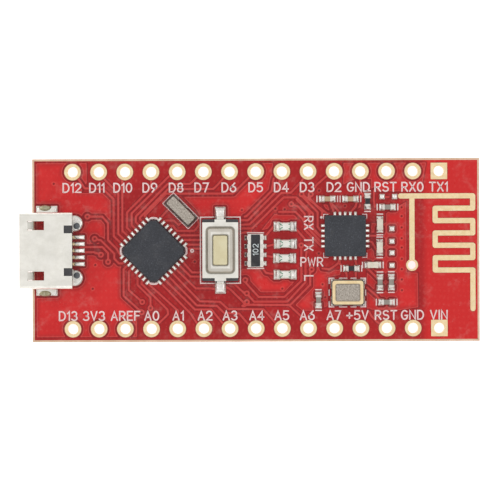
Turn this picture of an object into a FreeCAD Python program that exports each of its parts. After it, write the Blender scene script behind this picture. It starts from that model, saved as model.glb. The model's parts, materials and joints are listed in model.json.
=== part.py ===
"""A 30-hole microcontroller board with a 2.4 GHz radio, as a parametric assembly.

The board lies flat: X runs along its length, with the USB socket at -X and the printed
antenna at +X, Y runs across it and +Z is up. The origin is the centre of the header grid
on the board's underside. Every package is drawn about its own centre with its seat at
z = 0, and is then placed on the board. Packages on the underside are turned over about X.
All lengths are millimetres and all angles are degrees.
"""

import FreeCAD, Part
import Sketcher
import os

SIZES = {
    # board
    "board_length": 43.4,
    "board_width": 17.78,
    "board_thickness": 1.6,
    "mask_thickness": 0.03,
    "mask_rim": 0.2,
    "mask_gap": 0.05,
    "pad_thickness": 0.04,
    "hole_pitch": 2.54,
    "row_spacing": 15.24,
    "holes_per_row": 15,
    "hole_diameter": 1.0,
    "plating": 0.05,
    "ring_diameter": 1.6,
    # printed antenna: a feed bar, a grounding stub and a meander
    "antenna_width": 0.5,
    "antenna_start_x": 14.05,
    "antenna_top_y": 5.2,
    "antenna_right_x": 21.05,
    "antenna_left_x": 17.4,
    "antenna_step": 1.2,
    "antenna_tail": 3.75,
    "stub_x": 15.15,
    "stub_via_y": -1.5,
    "stub_via_diameter": 0.8,
    "stub_ring_diameter": 1.15,
    # USB socket
    "usb_width": 7.4,
    "usb_depth": 5.1,
    "usb_height": 2.45,
    "usb_wall": 0.25,
    "usb_overhang": 1.15,
    "usb_lower_width": 5.4,
    "usb_side_height": 1.35,
    "usb_corner": 0.45,
    "usb_window_length": 1.65,
    "usb_window_width": 0.86,
    "usb_window_spread": 4.86,
    "usb_window_inset": 0.75,
    "usb_latch_length": 0.6,
    "usb_latch_drop": 0.5,
    "usb_notch_length": 0.8,
    "usb_notch_width": 0.75,
    "usb_notch_spread": 4.12,
    "usb_foot_length": 1.5,
    "usb_foot_reach": 0.45,
    "usb_foot_inset": 1.8,
    "usb_heel_length": 0.7,
    "usb_heel_width": 0.7,
    "usb_heel_spread": 4.9,
    "usb_block_length": 1.3,
    "usb_fit": 0.03,
    "usb_tongue_width": 3.6,
    "usb_tongue_length": 3.0,
    "usb_tongue_thickness": 0.55,
    "usb_tongue_height": 1.35,
    "usb_contact_width": 0.25,
    "usb_contact_thickness": 0.15,
    "usb_contact_pitch": 0.65,
    "usb_tail_drop": 0.35,
    "usb_tail_length": 0.65,
    # reset switch
    "switch_x": -3.45,
    "switch_y": 0.0,
    "switch_width": 3.5,
    "switch_length": 6.0,
    "switch_base_height": 1.25,
    "switch_floor": 0.5,
    "switch_cover_length": 5.4,
    "switch_sheet": 0.15,
    "switch_skirt": 0.75,
    "switch_tab_width": 1.1,
    "plateau_side": 0.7,
    "plateau_end": 0.85,
    "plateau_rise": 0.3,
    "plateau_corner": 0.45,
    "plateau_slope": 32.0,
    "button_width": 1.35,
    "button_length": 2.8,
    "button_top": 2.5,
    "button_gap": 0.06,
    "button_flange": 0.3,
    "button_flange_height": 0.3,
    "button_travel": 0.25,
    "button_edge": 0.12,
    "dome_radius": 0.9,
    "dome_rise": 0.35,
    "dome_thickness": 0.08,
    "dome_gap": 0.01,
    "nub_radius": 0.35,
    "switch_lead_width": 0.7,
    "switch_lead_thickness": 0.15,
    "switch_lead_exit": 0.3,
    "switch_lead_bend": 0.35,
    "switch_lead_span": 7.8,
    # microcontroller, a 32-lead square package turned 45 degrees
    "mcu_x": -9.93,
    "mcu_y": -0.05,
    "mcu_turn": 45.0,
    "mcu_body": 4.75,
    "mcu_span": 5.0,
    "mcu_height": 0.85,
    "mcu_corner": 0.45,
    "mcu_draft": 12.0,
    "mcu_leads_per_side": 8,
    "mcu_paddle": 3.1,
    # radio, a 20-lead square package
    "radio_x": 8.67,
    "radio_y": 1.35,
    "radio_turn": 0.0,
    "radio_body": 4.0,
    "radio_span": 4.06,
    "radio_height": 0.85,
    "radio_corner": 0.12,
    "radio_draft": 2.0,
    "radio_leads_per_side": 5,
    "radio_paddle": 2.5,
    "lead_pitch": 0.5,
    "lead_width": 0.23,
    "lead_length": 0.4,
    "lead_height": 0.2,
    "die_share": 0.8,
    "die_height": 0.25,
    # quartz crystal of the radio
    "crystal_x": 8.9,
    "crystal_y": -4.15,
    "crystal_length": 3.2,
    "crystal_width": 2.5,
    "crystal_base_height": 0.5,
    "crystal_ring_inset": 0.1,
    "crystal_ring_height": 0.12,
    "crystal_lid_inset": 0.4,
    "crystal_lid_height": 0.1,
    "crystal_wall": 0.6,
    "quartz_length": 1.8,
    "quartz_width": 1.0,
    "quartz_thickness": 0.06,
    "quartz_seat": 0.3,
    "quartz_ledge": 0.25,
    # ceramic resonator of the microcontroller
    "resonator_x": -7.28,
    "resonator_y": 3.84,
    "resonator_turn": -45.0,
    "resonator_length": 3.3,
    "resonator_width": 1.3,
    "resonator_base_height": 0.35,
    "resonator_lid_inset": 0.1,
    "resonator_lid_height": 0.5,
    "resonator_lid_wall": 0.1,
    "resonator_lid_corner": 0.16,
    "element_height": 0.22,
    "element_inset": 0.12,
    # four light-emitting diodes in a column
    "led_length": 1.6,
    "led_width": 0.8,
    "led_base_height": 0.22,
    "led_lens_length": 1.1,
    "led_lens_height": 0.38,
    "led_lens_draft": 14.0,
    "led_terminal": 0.28,
    "led_terminal_height": 0.06,
    "led_chip": 0.26,
    "led_chip_offset": 0.12,
    # four resistors in one package
    "array_x": -0.04,
    "array_y": -0.05,
    "array_length": 3.2,
    "array_width": 1.5,
    "array_height": 0.45,
    "array_pitch": 0.83,
    "array_terminal_width": 0.42,
    "array_terminal_length": 0.3,
    "coat_thickness": 0.03,
    "coat_length": 3.1,
    # small two-terminal chips, 1.0 x 0.5 mm on top and 1.6 x 0.8 mm below
    "small_length": 1.0,
    "small_width": 0.5,
    "small_height": 0.5,
    "small_terminal": 0.22,
    "small_resistor_height": 0.33,
    "large_length": 1.6,
    "large_width": 0.8,
    "large_height": 0.8,
    "large_terminal": 0.3,
    "large_resistor_height": 0.45,
    "chip_relief": 0.015,
    "chip_edge": 0.04,
    "inductor_length": 1.05,
    "inductor_width": 0.58,
    "inductor_height": 0.55,
    "inductor_terminal": 0.14,
    "inductor_terminal_height": 0.3,
    # serial bridge on the underside
    "bridge_x": 3.4,
    "bridge_y": 0.0,
    "bridge_length": 9.9,
    "bridge_width": 3.9,
    "bridge_height": 1.55,
    "bridge_span": 6.0,
    "bridge_leads_per_side": 8,
    "bridge_lead_pitch": 1.27,
    "bridge_lead_width": 0.42,
    # 5 V regulator
    "power_x": -12.6,
    "power_y": 0.0,
    "power_length": 6.5,
    "power_width": 3.5,
    "power_height": 1.55,
    "power_span": 7.0,
    "power_lead_pitch": 2.3,
    "power_lead_width": 0.7,
    "power_tab_width": 3.0,
    # 3.3 V regulator
    "supply_x": 12.0,
    "supply_y": 2.6,
    "supply_length": 2.9,
    "supply_width": 1.3,
    "supply_height": 1.0,
    "supply_span": 2.4,
    "supply_lead_pitch": 1.9,
    "supply_lead_width": 0.4,
    # input diode
    "diode_x": -6.0,
    "diode_y": 0.0,
    "diode_length": 1.6,
    "diode_width": 2.7,
    "diode_height": 1.05,
    "diode_span": 3.6,
    "diode_lead_width": 0.6,
    # shared by the moulded packages with bent leads
    "mould_draft": 7.0,
    "mould_standoff": 0.1,
    "mould_exit": 0.7,
    "mould_lead_thickness": 0.2,
    "mould_foot": 0.55,
    # tantalum capacitors
    "tantalum_length": 3.2,
    "tantalum_width": 1.6,
    "tantalum_height": 1.5,
    "tantalum_lead_width": 1.2,
    "tantalum_lead_thickness": 0.12,
    "tantalum_lead_foot": 0.7,
    "tantalum_lead_rise": 0.75,
}

# Every small part stands at (x, y) with its long side turned by the third number.
SMALL_CAPACITORS = {
    "cap_radio_west": (6.94, 4.94, 0),
    "cap_radio_east": (9.19, 4.93, 0),
    "cap_match_north": (12.78, 4.13, 0),
    "cap_match_inner": (12.03, -3.17, 90),
    "cap_match_outer": (13.13, -3.15, 90),
    "cap_match_south": (12.67, -5.09, 0),
    "cap_crystal_west": (6.06, -4.87, 90),
}
TAN_CAPACITORS = ("cap_radio_west", "cap_radio_east")
SMALL_INDUCTORS = {
    "coil_north": (12.04, 2.45, 90),
    "coil_middle": (12.01, 0.22, 90),
    "coil_south": (11.34, -1.48, 0),
}
SMALL_RESISTORS = {
    "res_bias": (10.85, 4.71, 90),
    "res_crystal": (9.26, -1.81, 0),
}
BARE_FOOTPRINTS = {
    "spare_feed": (12.87, 5.15, 0),
    "spare_upper": (13.2, 1.42, 90),
    "spare_lower": (13.2, -0.92, 90),
}
LEDS = {
    "led_receive": (2.83, 2.28, 0),
    "led_transmit": (2.86, 0.6, 0),
    "led_power": (2.78, -0.8, 0),
    "led_user": (2.83, -2.39, 0),
}
LARGE_CAPACITORS = {
    "cap_bridge": (3.4, 4.6, 0),
    "cap_reset": (-0.4, 4.6, 0),
    "cap_supply_in": (12.0, -0.2, 0),
    "cap_supply_out": (12.0, 5.0, 0),
    "cap_power": (-12.6, 4.9, 0),
}
LARGE_RESISTORS = {
    "res_receive": (7.2, 4.6, 0),
    "res_transmit": (7.2, -4.6, 0),
    "res_pull_up": (3.4, -4.6, 0),
    "res_led": (-0.4, -4.6, 0),
}
TANTALUMS = {
    "tantalum_input": (-6.0, 3.6, 0),
    "tantalum_output": (-6.0, -3.6, 0),
}
PLACES = (SMALL_CAPACITORS, SMALL_INDUCTORS, SMALL_RESISTORS, BARE_FOOTPRINTS, LEDS,
          LARGE_CAPACITORS, LARGE_RESISTORS, TANTALUMS)

# Solder pads: how far each one runs out past its terminal, and its width past the terminal's.
PAD_MARGINS = {
    "pad_toe": 0.3,
    "pad_side": 0.06,
    "lead_pad_toe": 0.3,
    "lead_pad_heel": 0.1,
    "usb_pad_length": 2.05,
    "usb_pad_reach": 0.8,
    "usb_heel_pad_length": 0.92,
    "usb_heel_pad_width": 1.5,
    "usb_tail_pad_length": 1.1,
    "usb_tail_pad_width": 0.38,
    "switch_pad_width": 1.0,
    "switch_pad_length": 1.25,
}

doc = FreeCAD.newDocument("microcontroller_board")
sheet = doc.addObject("Spreadsheet::Sheet", "sizes")
nodes = []


# ---------------------------------------------------------------- the sheet and its formulas
def fill_sheet():
    """Writes each driving value as a plain number beside its name, which is also its alias."""
    values = dict(SIZES)
    values.update(PAD_MARGINS)
    for group in PLACES:
        for name, (x, y, turn) in group.items():
            values[name + "_x"] = x
            values[name + "_y"] = y
            values[name + "_turn"] = turn
    for row, (name, value) in enumerate(values.items(), 1):
        sheet.set(f"A{row}", name)
        sheet.set(f"B{row}", str(value))
        sheet.setAlias(f"B{row}", name)
    doc.recompute()


def size(name):
    """The sheet's present value of a name."""
    return float(sheet.get(name))


class Names:
    """Writes s.board_length as the formula sizes.board_length."""

    def __getattr__(self, name):
        return f"sizes.{name}"


s = Names()
TOP_SEAT = f"({s.board_thickness} + {s.pad_thickness})"
BOTTOM_SEAT = f"(-{s.pad_thickness})"
USB_MOUTH = f"(-{s.board_length} / 2 - {s.usb_overhang})"
USB_REAR = f"({USB_MOUTH} + {s.usb_depth})"


def bind(piece, **formulas):
    """Binds properties of an object to formulas: a double underscore in a name is a dot."""
    for name, formula in formulas.items():
        piece.setExpression(name.replace("__", "."), str(formula))
    return piece


def place(piece, x="0", y="0", z="0", turn=None, over=False):
    """Puts a piece at (x, y, z), turned about Z, or turned over about X for the underside."""
    if over:
        flip = FreeCAD.Rotation(FreeCAD.Vector(1, 0, 0), 180)
        piece.Placement = FreeCAD.Placement(FreeCAD.Vector(), flip)
    elif turn is not None:
        bind(piece, **{"Placement__Rotation__Angle": turn})
    for axis, formula in zip("xyz", (x, y, z)):
        piece.setExpression(f".Placement.Base.{axis}", str(formula))
    return piece


def node(piece, label):
    """Marks a piece as a sub-part: its label names its file."""
    piece.Label = label
    nodes.append(piece)
    return piece


# ---------------------------------------------------------------- Part primitives and booleans
def box(x0, x1, y0, y1, z0, z1):
    """A block between two corners, each coordinate a formula."""
    piece = doc.addObject("Part::Box", "block")
    bind(piece, Length=f"({x1}) - ({x0})", Width=f"({y1}) - ({y0})", Height=f"({z1}) - ({z0})")
    return place(piece, x0, y0, z0)


def centred_box(length, width, z0, z1, x="0", y="0"):
    """A block standing about (x, y)."""
    return box(f"({x}) - ({length}) / 2", f"({x}) + ({length}) / 2",
               f"({y}) - ({width}) / 2", f"({y}) + ({width}) / 2", z0, z1)


def rod(diameter, z0, z1, x="0", y="0"):
    """An upright cylinder."""
    piece = doc.addObject("Part::Cylinder", "rod")
    bind(piece, Radius=f"({diameter}) / 2", Height=f"({z1}) - ({z0})")
    return place(piece, x, y, z0)


def ball(radius, z):
    """A sphere centred on the Z axis."""
    piece = doc.addObject("Part::Sphere", "ball")
    bind(piece, Radius=radius)
    return place(piece, z=z)


def group(pieces):
    """Separate solids kept together as one sub-part."""
    piece = doc.addObject("Part::Compound", "group")
    piece.Links = pieces
    return piece


def fuse(pieces):
    """Several solids joined into one."""
    piece = doc.addObject("Part::MultiFuse", "joined")
    piece.Shapes = pieces
    piece.Refine = True
    return piece


def cut(base, tool):
    """One solid less another."""
    piece = doc.addObject("Part::Cut", "trimmed")
    piece.Base = base
    piece.Tool = tool
    return piece


def common(first, second):
    """What two solids share."""
    piece = doc.addObject("Part::Common", "shared")
    piece.Base = first
    piece.Tool = second
    return piece


# ---------------------------------------------------------------- PartDesign bodies and sketches
def new_body(label):
    """An empty body."""
    piece = doc.addObject("PartDesign::Body", label)
    piece.Label = label
    return piece


def datum(body, role):
    """One of a body's own origin planes or axes."""
    return next(f for f in body.Origin.OriginFeatures if f.Role == role)


def sketch_on(body, role, height=None):
    """A sketch on an origin plane of the body, lifted along the plane's normal."""
    sketch = body.newObject("Sketcher::SketchObject", "outline")
    sketch.AttachmentSupport = [(datum(body, role), "")]
    sketch.MapMode = "FlatFace"
    if height is not None:
        sketch.setExpression(".AttachmentOffset.Base.z", str(height))
    return sketch


def pin_down(sketch, line, end, x, y):
    """Dimensions the end of a line from the sketch's origin by two formulas."""
    for kind, formula in (("DistanceX", x), ("DistanceY", y)):
        value = evaluate(formula)
        index = sketch.addConstraint(Sketcher.Constraint(kind, -1, 1, line, end, value))
        sketch.setExpression(f"Constraints[{index}]", str(formula))


def outline(sketch, corners):
    """A closed outline of straight lines through corners, each a pair of formulas."""
    first = sketch.GeometryCount
    count = len(corners)
    steps = [(evaluate(x), evaluate(y)) for x, y in corners]
    for i in range(count):
        a = FreeCAD.Vector(*steps[i], 0)
        b = FreeCAD.Vector(*steps[(i + 1) % count], 0)
        sketch.addGeometry(Part.LineSegment(a, b))
    for i in range(count):
        sketch.addConstraint(
            Sketcher.Constraint("Coincident", first + i, 2, first + (i + 1) % count, 1))
    for i, (x, y) in enumerate(corners):
        pin_down(sketch, first + i, 1, x, y)


def evaluate(formula):
    """A formula's present value, worked out by the sheet's own parser."""
    return float(sheet.evalExpression(str(formula)))


def rectangle(sketch, length, width, x="0", y="0"):
    """A rectangle about (x, y)."""
    west, east = f"({x}) - ({length}) / 2", f"({x}) + ({length}) / 2"
    south, north = f"({y}) - ({width}) / 2", f"({y}) + ({width}) / 2"
    outline(sketch, [(west, south), (east, south), (east, north), (west, north)])


def circle(sketch, diameter, x="0", y="0"):
    """A circle about (x, y)."""
    index = sketch.GeometryCount
    centre = FreeCAD.Vector(evaluate(x), evaluate(y), 0)
    sketch.addGeometry(Part.Circle(centre, FreeCAD.Vector(0, 0, 1), evaluate(diameter) / 2))
    at = sketch.addConstraint(Sketcher.Constraint("Diameter", index, evaluate(diameter)))
    sketch.setExpression(f"Constraints[{at}]", str(diameter))
    pin_down(sketch, index, 3, x, y)


def pad(body, sketch, length, taper=None, midplane=False, down=False):
    """Adds a sketch's outline, grown along its normal."""
    feature = body.newObject("PartDesign::Pad", "pad")
    feature.Profile = sketch
    feature.Reversed = down
    bind(feature, Length=length)
    if taper is not None:
        bind(feature, TaperAngle=f"-({taper})")
    if midplane:
        feature.SideType = "Symmetric"
    return feature


def pocket(body, sketch, depth, upward=False):
    """Cuts a sketch's outline: down from the sketch, or upward from it. Checks that it cut."""
    doc.recompute()
    before = body.Shape.Volume
    feature = body.newObject("PartDesign::Pocket", "pocket")
    feature.Profile = sketch
    feature.Reversed = upward
    bind(feature, Length=depth)
    doc.recompute()
    if body.Shape.Volume > before - 1e-6:
        raise RuntimeError(f"a pocket of {body.Label} cut nothing")
    return feature


def repeat(body, feature, axis, count, span):
    """Repeats a feature along an axis: count copies over the whole span."""
    pattern = body.newObject("PartDesign::LinearPattern", "row")
    pattern.Originals = [feature]
    pattern.Direction = (datum(body, axis), [""])
    bind(pattern, Occurrences=count, Length=span)
    body.Tip = pattern
    return pattern


def edges_where(body, test):
    """Names of the edges of a body's tip whose middle and direction pass a test."""
    doc.recompute()
    names = []
    for number, edge in enumerate(body.Tip.Shape.Edges, 1):
        middle = edge.CenterOfMass
        along = edge.tangentAt((edge.FirstParameter + edge.LastParameter) / 2)
        if test(middle, along):
            names.append(f"Edge{number}")
    return names


def round_edges(body, radius, test, kind="PartDesign::Fillet"):
    """Rounds or chamfers the edges that pass a test."""
    names = edges_where(body, test)
    base = body.Tip
    feature = body.newObject(kind, "edges")
    feature.Base = (base, names)
    bind(feature, **{"Radius" if kind.endswith("Fillet") else "Size": radius})
    return feature


def chamfer_edges(body, leg, test):
    """Chamfers the edges that pass a test."""
    return round_edges(body, leg, test, "PartDesign::Chamfer")


def upright(middle, along):
    """True for an edge that runs along Z."""
    return abs(along.z) > 0.9


# ---------------------------------------------------------------- bare board
def hole_x(column):
    """X of a header column, numbered from 0 at the USB end."""
    return f"(({column}) - ({s.holes_per_row} - 1) / 2) * {s.hole_pitch}"


ROWS = {"digital": f"{s.row_spacing} / 2", "analog": f"-{s.row_spacing} / 2"}
ROW_SPAN = f"({s.holes_per_row} - 1) * {s.hole_pitch}"


def drill_header(body, sketch_height, depth, diameter, upward=False):
    """Cuts both rows of header holes."""
    sketch = sketch_on(body, "XY_Plane", sketch_height)
    for y in ROWS.values():
        circle(sketch, diameter, hole_x(0), y)
    first = pocket(body, sketch, depth, upward)
    repeat(body, first, "X_Axis", s.holes_per_row, ROW_SPAN)


def make_core():
    """Glass-fibre laminate with drilled holes."""
    body = node(new_body("pcb_core"), "pcb_core")
    sketch = sketch_on(body, "XY_Plane")
    rectangle(sketch, s.board_length, s.board_width)
    pad(body, sketch, s.board_thickness)
    drill_header(body, s.board_thickness, s.board_thickness, f"{s.hole_diameter} + 2 * {s.plating}")
    sketch = sketch_on(body, "XY_Plane", s.board_thickness)
    circle(sketch, f"{s.stub_via_diameter} + 2 * {s.plating}", s.stub_x, s.stub_via_y)
    pocket(body, sketch, s.board_thickness)


def header_ring(square):
    """One plated hole about the Z axis: a lining with a flange on each face of the board."""
    low, high = f"-{s.pad_thickness}", TOP_SEAT
    parts = [rod(f"{s.hole_diameter} + 2 * {s.plating}", low, high)]
    for z0, z1 in ((low, "0"), (s.board_thickness, high)):
        if square:
            parts.append(centred_box(s.ring_diameter, s.ring_diameter, z0, z1))
        else:
            parts.append(rod(s.ring_diameter, z0, z1))
    return cut(fuse(parts), rod(s.hole_diameter, low, high))


def make_header_pads():
    """The plated holes of each row; the last hole at the antenna end has square pads."""
    for row, y in ROWS.items():
        rings = []
        for column in range(int(size("holes_per_row"))):
            square = column == int(size("holes_per_row")) - 1
            rings.append(place(header_ring(square), hole_x(column), y))
        node(group(rings), f"header_pads_{row}")


def make_antenna():
    """The bare copper strip: feed bar, meander and tail, with its grounding stub and ring.

    Every corner and end is rounded to half the strip's width by a disc at the joint.
    """
    half = f"{s.antenna_width} / 2"
    z0, z1 = s.board_thickness, TOP_SEAT
    parts = []

    def bar(x0, x1, y):
        parts.append(box(x0, x1, f"{y} - {half}", f"{y} + {half}", z0, z1))
        for x in (x0, x1):
            parts.append(rod(s.antenna_width, z0, z1, x, y))

    def riser(x, y0, y1):
        parts.append(box(f"{x} - {half}", f"{x} + {half}", y0, y1, z0, z1))

    bar(f"({s.antenna_start_x})", f"({s.antenna_right_x})", s.antenna_top_y)
    for level in range(6):
        upper = f"({s.antenna_top_y} - {level} * {s.antenna_step})"
        lower = f"({s.antenna_top_y} - {level + 1} * {s.antenna_step})"
        side = s.antenna_right_x if level % 2 == 0 else s.antenna_left_x
        riser(side, lower, upper)
        bar(f"({s.antenna_left_x})", f"({s.antenna_right_x})", lower)
    tail_end = f"({s.antenna_top_y} - 6 * {s.antenna_step} - {s.antenna_tail})"
    riser(s.antenna_right_x, tail_end, f"({s.antenna_top_y} - 6 * {s.antenna_step})")
    parts.append(rod(s.antenna_width, z0, z1, s.antenna_right_x, tail_end))
    riser(s.stub_x, f"({s.stub_via_y})", s.antenna_top_y)
    parts.append(rod(s.stub_ring_diameter, z0, z1, s.stub_x, s.stub_via_y))
    strip = cut(fuse(parts), rod(f"{s.stub_via_diameter} + 2 * {s.plating}", z0, z1,
                                 s.stub_x, s.stub_via_y))
    node(strip, "antenna_strip")
    lining = fuse([
        rod(f"{s.stub_via_diameter} + 2 * {s.plating}", BOTTOM_SEAT, TOP_SEAT),
        rod(s.stub_ring_diameter, BOTTOM_SEAT, "0"),
    ])
    via = cut(lining, rod(s.stub_via_diameter, BOTTOM_SEAT, TOP_SEAT))
    node(place(via, s.stub_x, s.stub_via_y), "antenna_ground_via")


# ---------------------------------------------------------------- solder lands and lacquer
def land(x, y, length, width, nosed=False, grow="0"):
    """A flat copper land about (x, y), or the lacquer opening round it when grown.

    A nosed land ends in a half disc on its far side.
    """
    top = f"{s.pad_thickness}" if grow == "0" else f"{s.pad_thickness} * 2"
    if not nosed:
        return centred_box(f"{length} + 2 * {grow}", f"{width} + 2 * {grow}", "0", top, x, y)
    turn_x = f"({x} + {length} / 2 - {width} / 2)"
    start = f"({x} - {length} / 2 - {grow})"
    flat = box(start, turn_x, f"{y} - {width} / 2 - {grow}", f"{y} + {width} / 2 + {grow}", "0", top)
    return fuse([flat, rod(f"{width} + 2 * {grow}", "0", top, turn_x, y)])


def chip_lands(length, width, terminal):
    """Two lands under a chip with end terminals."""
    reach = f"({terminal} + {s.pad_toe})"
    x = f"({length} / 2 + {s.pad_toe} - {reach} / 2)"
    across = f"({width} + 2 * {s.pad_side})"
    return [(f"{sign}{x}", "0", reach, across) for sign in ("", "-")]


def side_rows(count, pitch, span, foot, width, sides="EWNS"):
    """One land under each lead of a package, on the sides named by compass letters."""
    lands = []
    reach = f"({foot} + {s.lead_pad_toe} + {s.lead_pad_heel})"
    out = f"({span} / 2 + {s.lead_pad_toe} - {reach} / 2)"
    for i in range(count):
        along = f"({i} - ({count} - 1) / 2) * {pitch}"
        for side in sides:
            if side in "EW":
                lands.append((out if side == "E" else f"-{out}", along, reach, width))
            else:
                lands.append((along, out if side == "N" else f"-{out}", width, reach))
    return lands


def square_package_lands(name):
    """Lands of a square leadless package with its centre paddle."""
    count = int(size(f"{name}_leads_per_side"))
    rows = side_rows(count, s.lead_pitch, f"sizes.{name}_span", s.lead_length, s.lead_width)
    return rows + [("0", "0", f"sizes.{name}_paddle", f"sizes.{name}_paddle")]


def crystal_lands():
    """Four lands under the corners of the crystal."""
    return [(f"{i} * {s.crystal_length} * 0.34", f"{j} * {s.crystal_width} * 0.33", "1.1", "0.9")
            for i in (-1, 1) for j in (-1, 1)]


def resonator_lands():
    """Three lands across the resonator."""
    across = f"{s.resonator_width} + 0.06"
    return [(f"{i} * {s.resonator_length} * 0.36", "0", "0.6", across) for i in (-1, 0, 1)]


def array_lands():
    """Eight lands of the resistor array."""
    reach = f"({s.array_terminal_length} + {s.pad_toe})"
    x = f"({s.array_width} / 2 + {s.pad_toe} - {reach} / 2)"
    return [(f"{sign}{x}", f"({i} - 1.5) * {s.array_pitch}", reach, s.array_terminal_width)
            for sign in ("", "-") for i in range(4)]


def switch_lands():
    """A land at each end of the reset switch."""
    y = f"({s.switch_lead_span} / 2 + {s.pad_toe} - {s.switch_pad_length} / 2)"
    return [("0", f"{sign}{y}", s.switch_pad_width, s.switch_pad_length) for sign in ("", "-")]


def socket_lands():
    """Side, heel and contact lands of the USB socket, drawn from the socket's mouth."""
    lands = []
    side_x = f"({s.usb_foot_inset} + {s.usb_foot_length} / 2)"
    side_y = f"({s.usb_width} / 2 + {s.usb_foot_reach} - {s.usb_pad_reach} / 2 + 0.2)"
    heel_x = f"({s.usb_depth} + {s.usb_heel_pad_length} / 2)"
    heel_y = f"({s.usb_heel_spread} / 2 + 0.2)"
    for sign in ("", "-"):
        lands.append((side_x, f"{sign}{side_y}", s.usb_pad_length, s.usb_pad_reach))
        lands.append((heel_x, f"{sign}{heel_y}", s.usb_heel_pad_length, s.usb_heel_pad_width, True))
    tail_x = f"({s.usb_depth} + {s.usb_tail_pad_length} / 2 + 0.02)"
    for i in range(5):
        y = f"({i} - 2) * {s.usb_contact_pitch}"
        lands.append((tail_x, y, s.usb_tail_pad_length, s.usb_tail_pad_width))
    return lands


def top_footprints():
    """Every soldered footprint of the top: lands, then its place and turn."""
    small = chip_lands(s.small_length, s.small_width, s.small_terminal)
    prints = [
        (square_package_lands("mcu"), s.mcu_x, s.mcu_y, s.mcu_turn),
        (square_package_lands("radio"), s.radio_x, s.radio_y, s.radio_turn),
        (crystal_lands(), s.crystal_x, s.crystal_y, "0"),
        (resonator_lands(), s.resonator_x, s.resonator_y, s.resonator_turn),
        (array_lands(), s.array_x, s.array_y, "0"),
        (switch_lands(), s.switch_x, s.switch_y, "0"),
        (socket_lands(), USB_MOUTH, "0", "0"),
    ]
    for group_of_parts in (SMALL_CAPACITORS, SMALL_RESISTORS, SMALL_INDUCTORS):
        for name in group_of_parts:
            prints.append((small, *spot(name)))
    for name in BARE_FOOTPRINTS:
        prints.append((bare_lands(), *spot(name)))
    for name in LEDS:
        prints.append((chip_lands(s.led_length, s.led_width, s.led_terminal), *spot(name)))
    return prints


def bare_lands():
    """Two lands that carry no part."""
    return [(f"{sign}0.61", "0", "0.48", "0.5") for sign in ("", "-")]


def bottom_footprints():
    """Every soldered footprint of the underside, in the turned-over view."""
    large = chip_lands(s.large_length, s.large_width, s.large_terminal)
    wide = f"({s.mould_foot} + 0)"
    prints = [
        (side_rows(8, s.bridge_lead_pitch, s.bridge_span, wide, s.bridge_lead_width, "NS"),
         s.bridge_x, s.bridge_y, "0"),
        (side_rows(3, s.power_lead_pitch, s.power_span, wide, s.power_lead_width, "S")
         + side_rows(1, "0", s.power_span, wide, s.power_tab_width, "N"),
         s.power_x, s.power_y, "0"),
        (side_rows(2, s.supply_lead_pitch, s.supply_span, wide, s.supply_lead_width, "S")
         + side_rows(1, "0", s.supply_span, wide, s.supply_lead_width, "N"),
         s.supply_x, s.supply_y, "0"),
        (side_rows(1, "0", s.diode_span, wide, s.diode_lead_width, "NS"),
         s.diode_x, s.diode_y, "0"),
    ]
    for name in list(LARGE_CAPACITORS) + list(LARGE_RESISTORS):
        prints.append((large, *spot(name)))
    tantalum = chip_lands(s.tantalum_length, s.tantalum_lead_width, s.tantalum_lead_foot)
    for name in TANTALUMS:
        prints.append((tantalum, *spot(name)))
    return prints


def spot(name):
    """Place and turn of a named small part."""
    return f"sizes.{name}_x", f"sizes.{name}_y", f"sizes.{name}_turn"


def lay_out(footprints, grow, z, over=False):
    """All lands of a list of footprints, each set of lands turned about its own centre."""
    sets = []
    for lands, x, y, turn in footprints:
        pieces = group([land(*values, grow=grow) for values in lands])
        if over:
            sets.append(place(pieces, x, y, z, over=True))
        else:
            sets.append(place(pieces, x, y, z, turn))
    return sets


def antenna_opening(z0, z1):
    """The window in the lacquer over the whole antenna strip."""
    half = f"({s.antenna_width} / 2 + {s.mask_gap})"
    tail = f"({s.antenna_top_y} - 6 * {s.antenna_step} - {s.antenna_tail})"
    pieces = []
    for level in range(7):
        y = f"({s.antenna_top_y} - {level} * {s.antenna_step})"
        start = s.antenna_start_x if level == 0 else s.antenna_left_x
        pieces.append(box(f"{start} - {half}", f"{s.antenna_right_x} + {half}",
                          f"{y} - {half}", f"{y} + {half}", z0, z1))
        if level < 6:
            x = s.antenna_right_x if level % 2 == 0 else s.antenna_left_x
            pieces.append(box(f"{x} - {half}", f"{x} + {half}",
                              f"{y} - {s.antenna_step}", y, z0, z1))
    pieces.append(box(f"{s.antenna_right_x} - {half}", f"{s.antenna_right_x} + {half}",
                      f"{tail} - {half}", f"{s.antenna_top_y} - 6 * {s.antenna_step}", z0, z1))
    pieces.append(box(f"{s.stub_x} - {half}", f"{s.stub_x} + {half}",
                      s.stub_via_y, s.antenna_top_y, z0, z1))
    return pieces


def make_mask(label, bottom):
    """A lacquer sheet with openings round every hole and land."""
    low = f"-{s.mask_thickness}" if bottom else s.board_thickness
    high = "0" if bottom else f"{s.board_thickness} + {s.mask_thickness}"
    z0, z1 = f"({low}) - 0.1", f"({high}) + 0.1"
    sheet_of_lacquer = centred_box(f"{s.board_length} - 2 * {s.mask_rim}",
                                   f"{s.board_width} - 2 * {s.mask_rim}", low, high)
    opening = f"({s.ring_diameter} + 2 * {s.mask_gap})"
    openings = []
    for y in ROWS.values():
        for column in range(int(size("holes_per_row")) - 1):
            openings.append(rod(opening, z0, z1, hole_x(column), y))
        last = hole_x(f"{s.holes_per_row} - 1")
        openings.append(centred_box(opening, opening, z0, z1, last, y))
    openings.append(rod(f"{s.stub_ring_diameter} + 2 * {s.mask_gap}", z0, z1,
                        s.stub_x, s.stub_via_y))
    if bottom:
        lands = lay_out(bottom_footprints(), s.mask_gap, f"{s.pad_thickness} / 2", over=True)
    else:
        lands = lay_out(top_footprints(), s.mask_gap, f"{s.board_thickness} - 0.01")
        openings += antenna_opening(z0, z1)
    node(cut(sheet_of_lacquer, fuse(openings + lands)), label)


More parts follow.
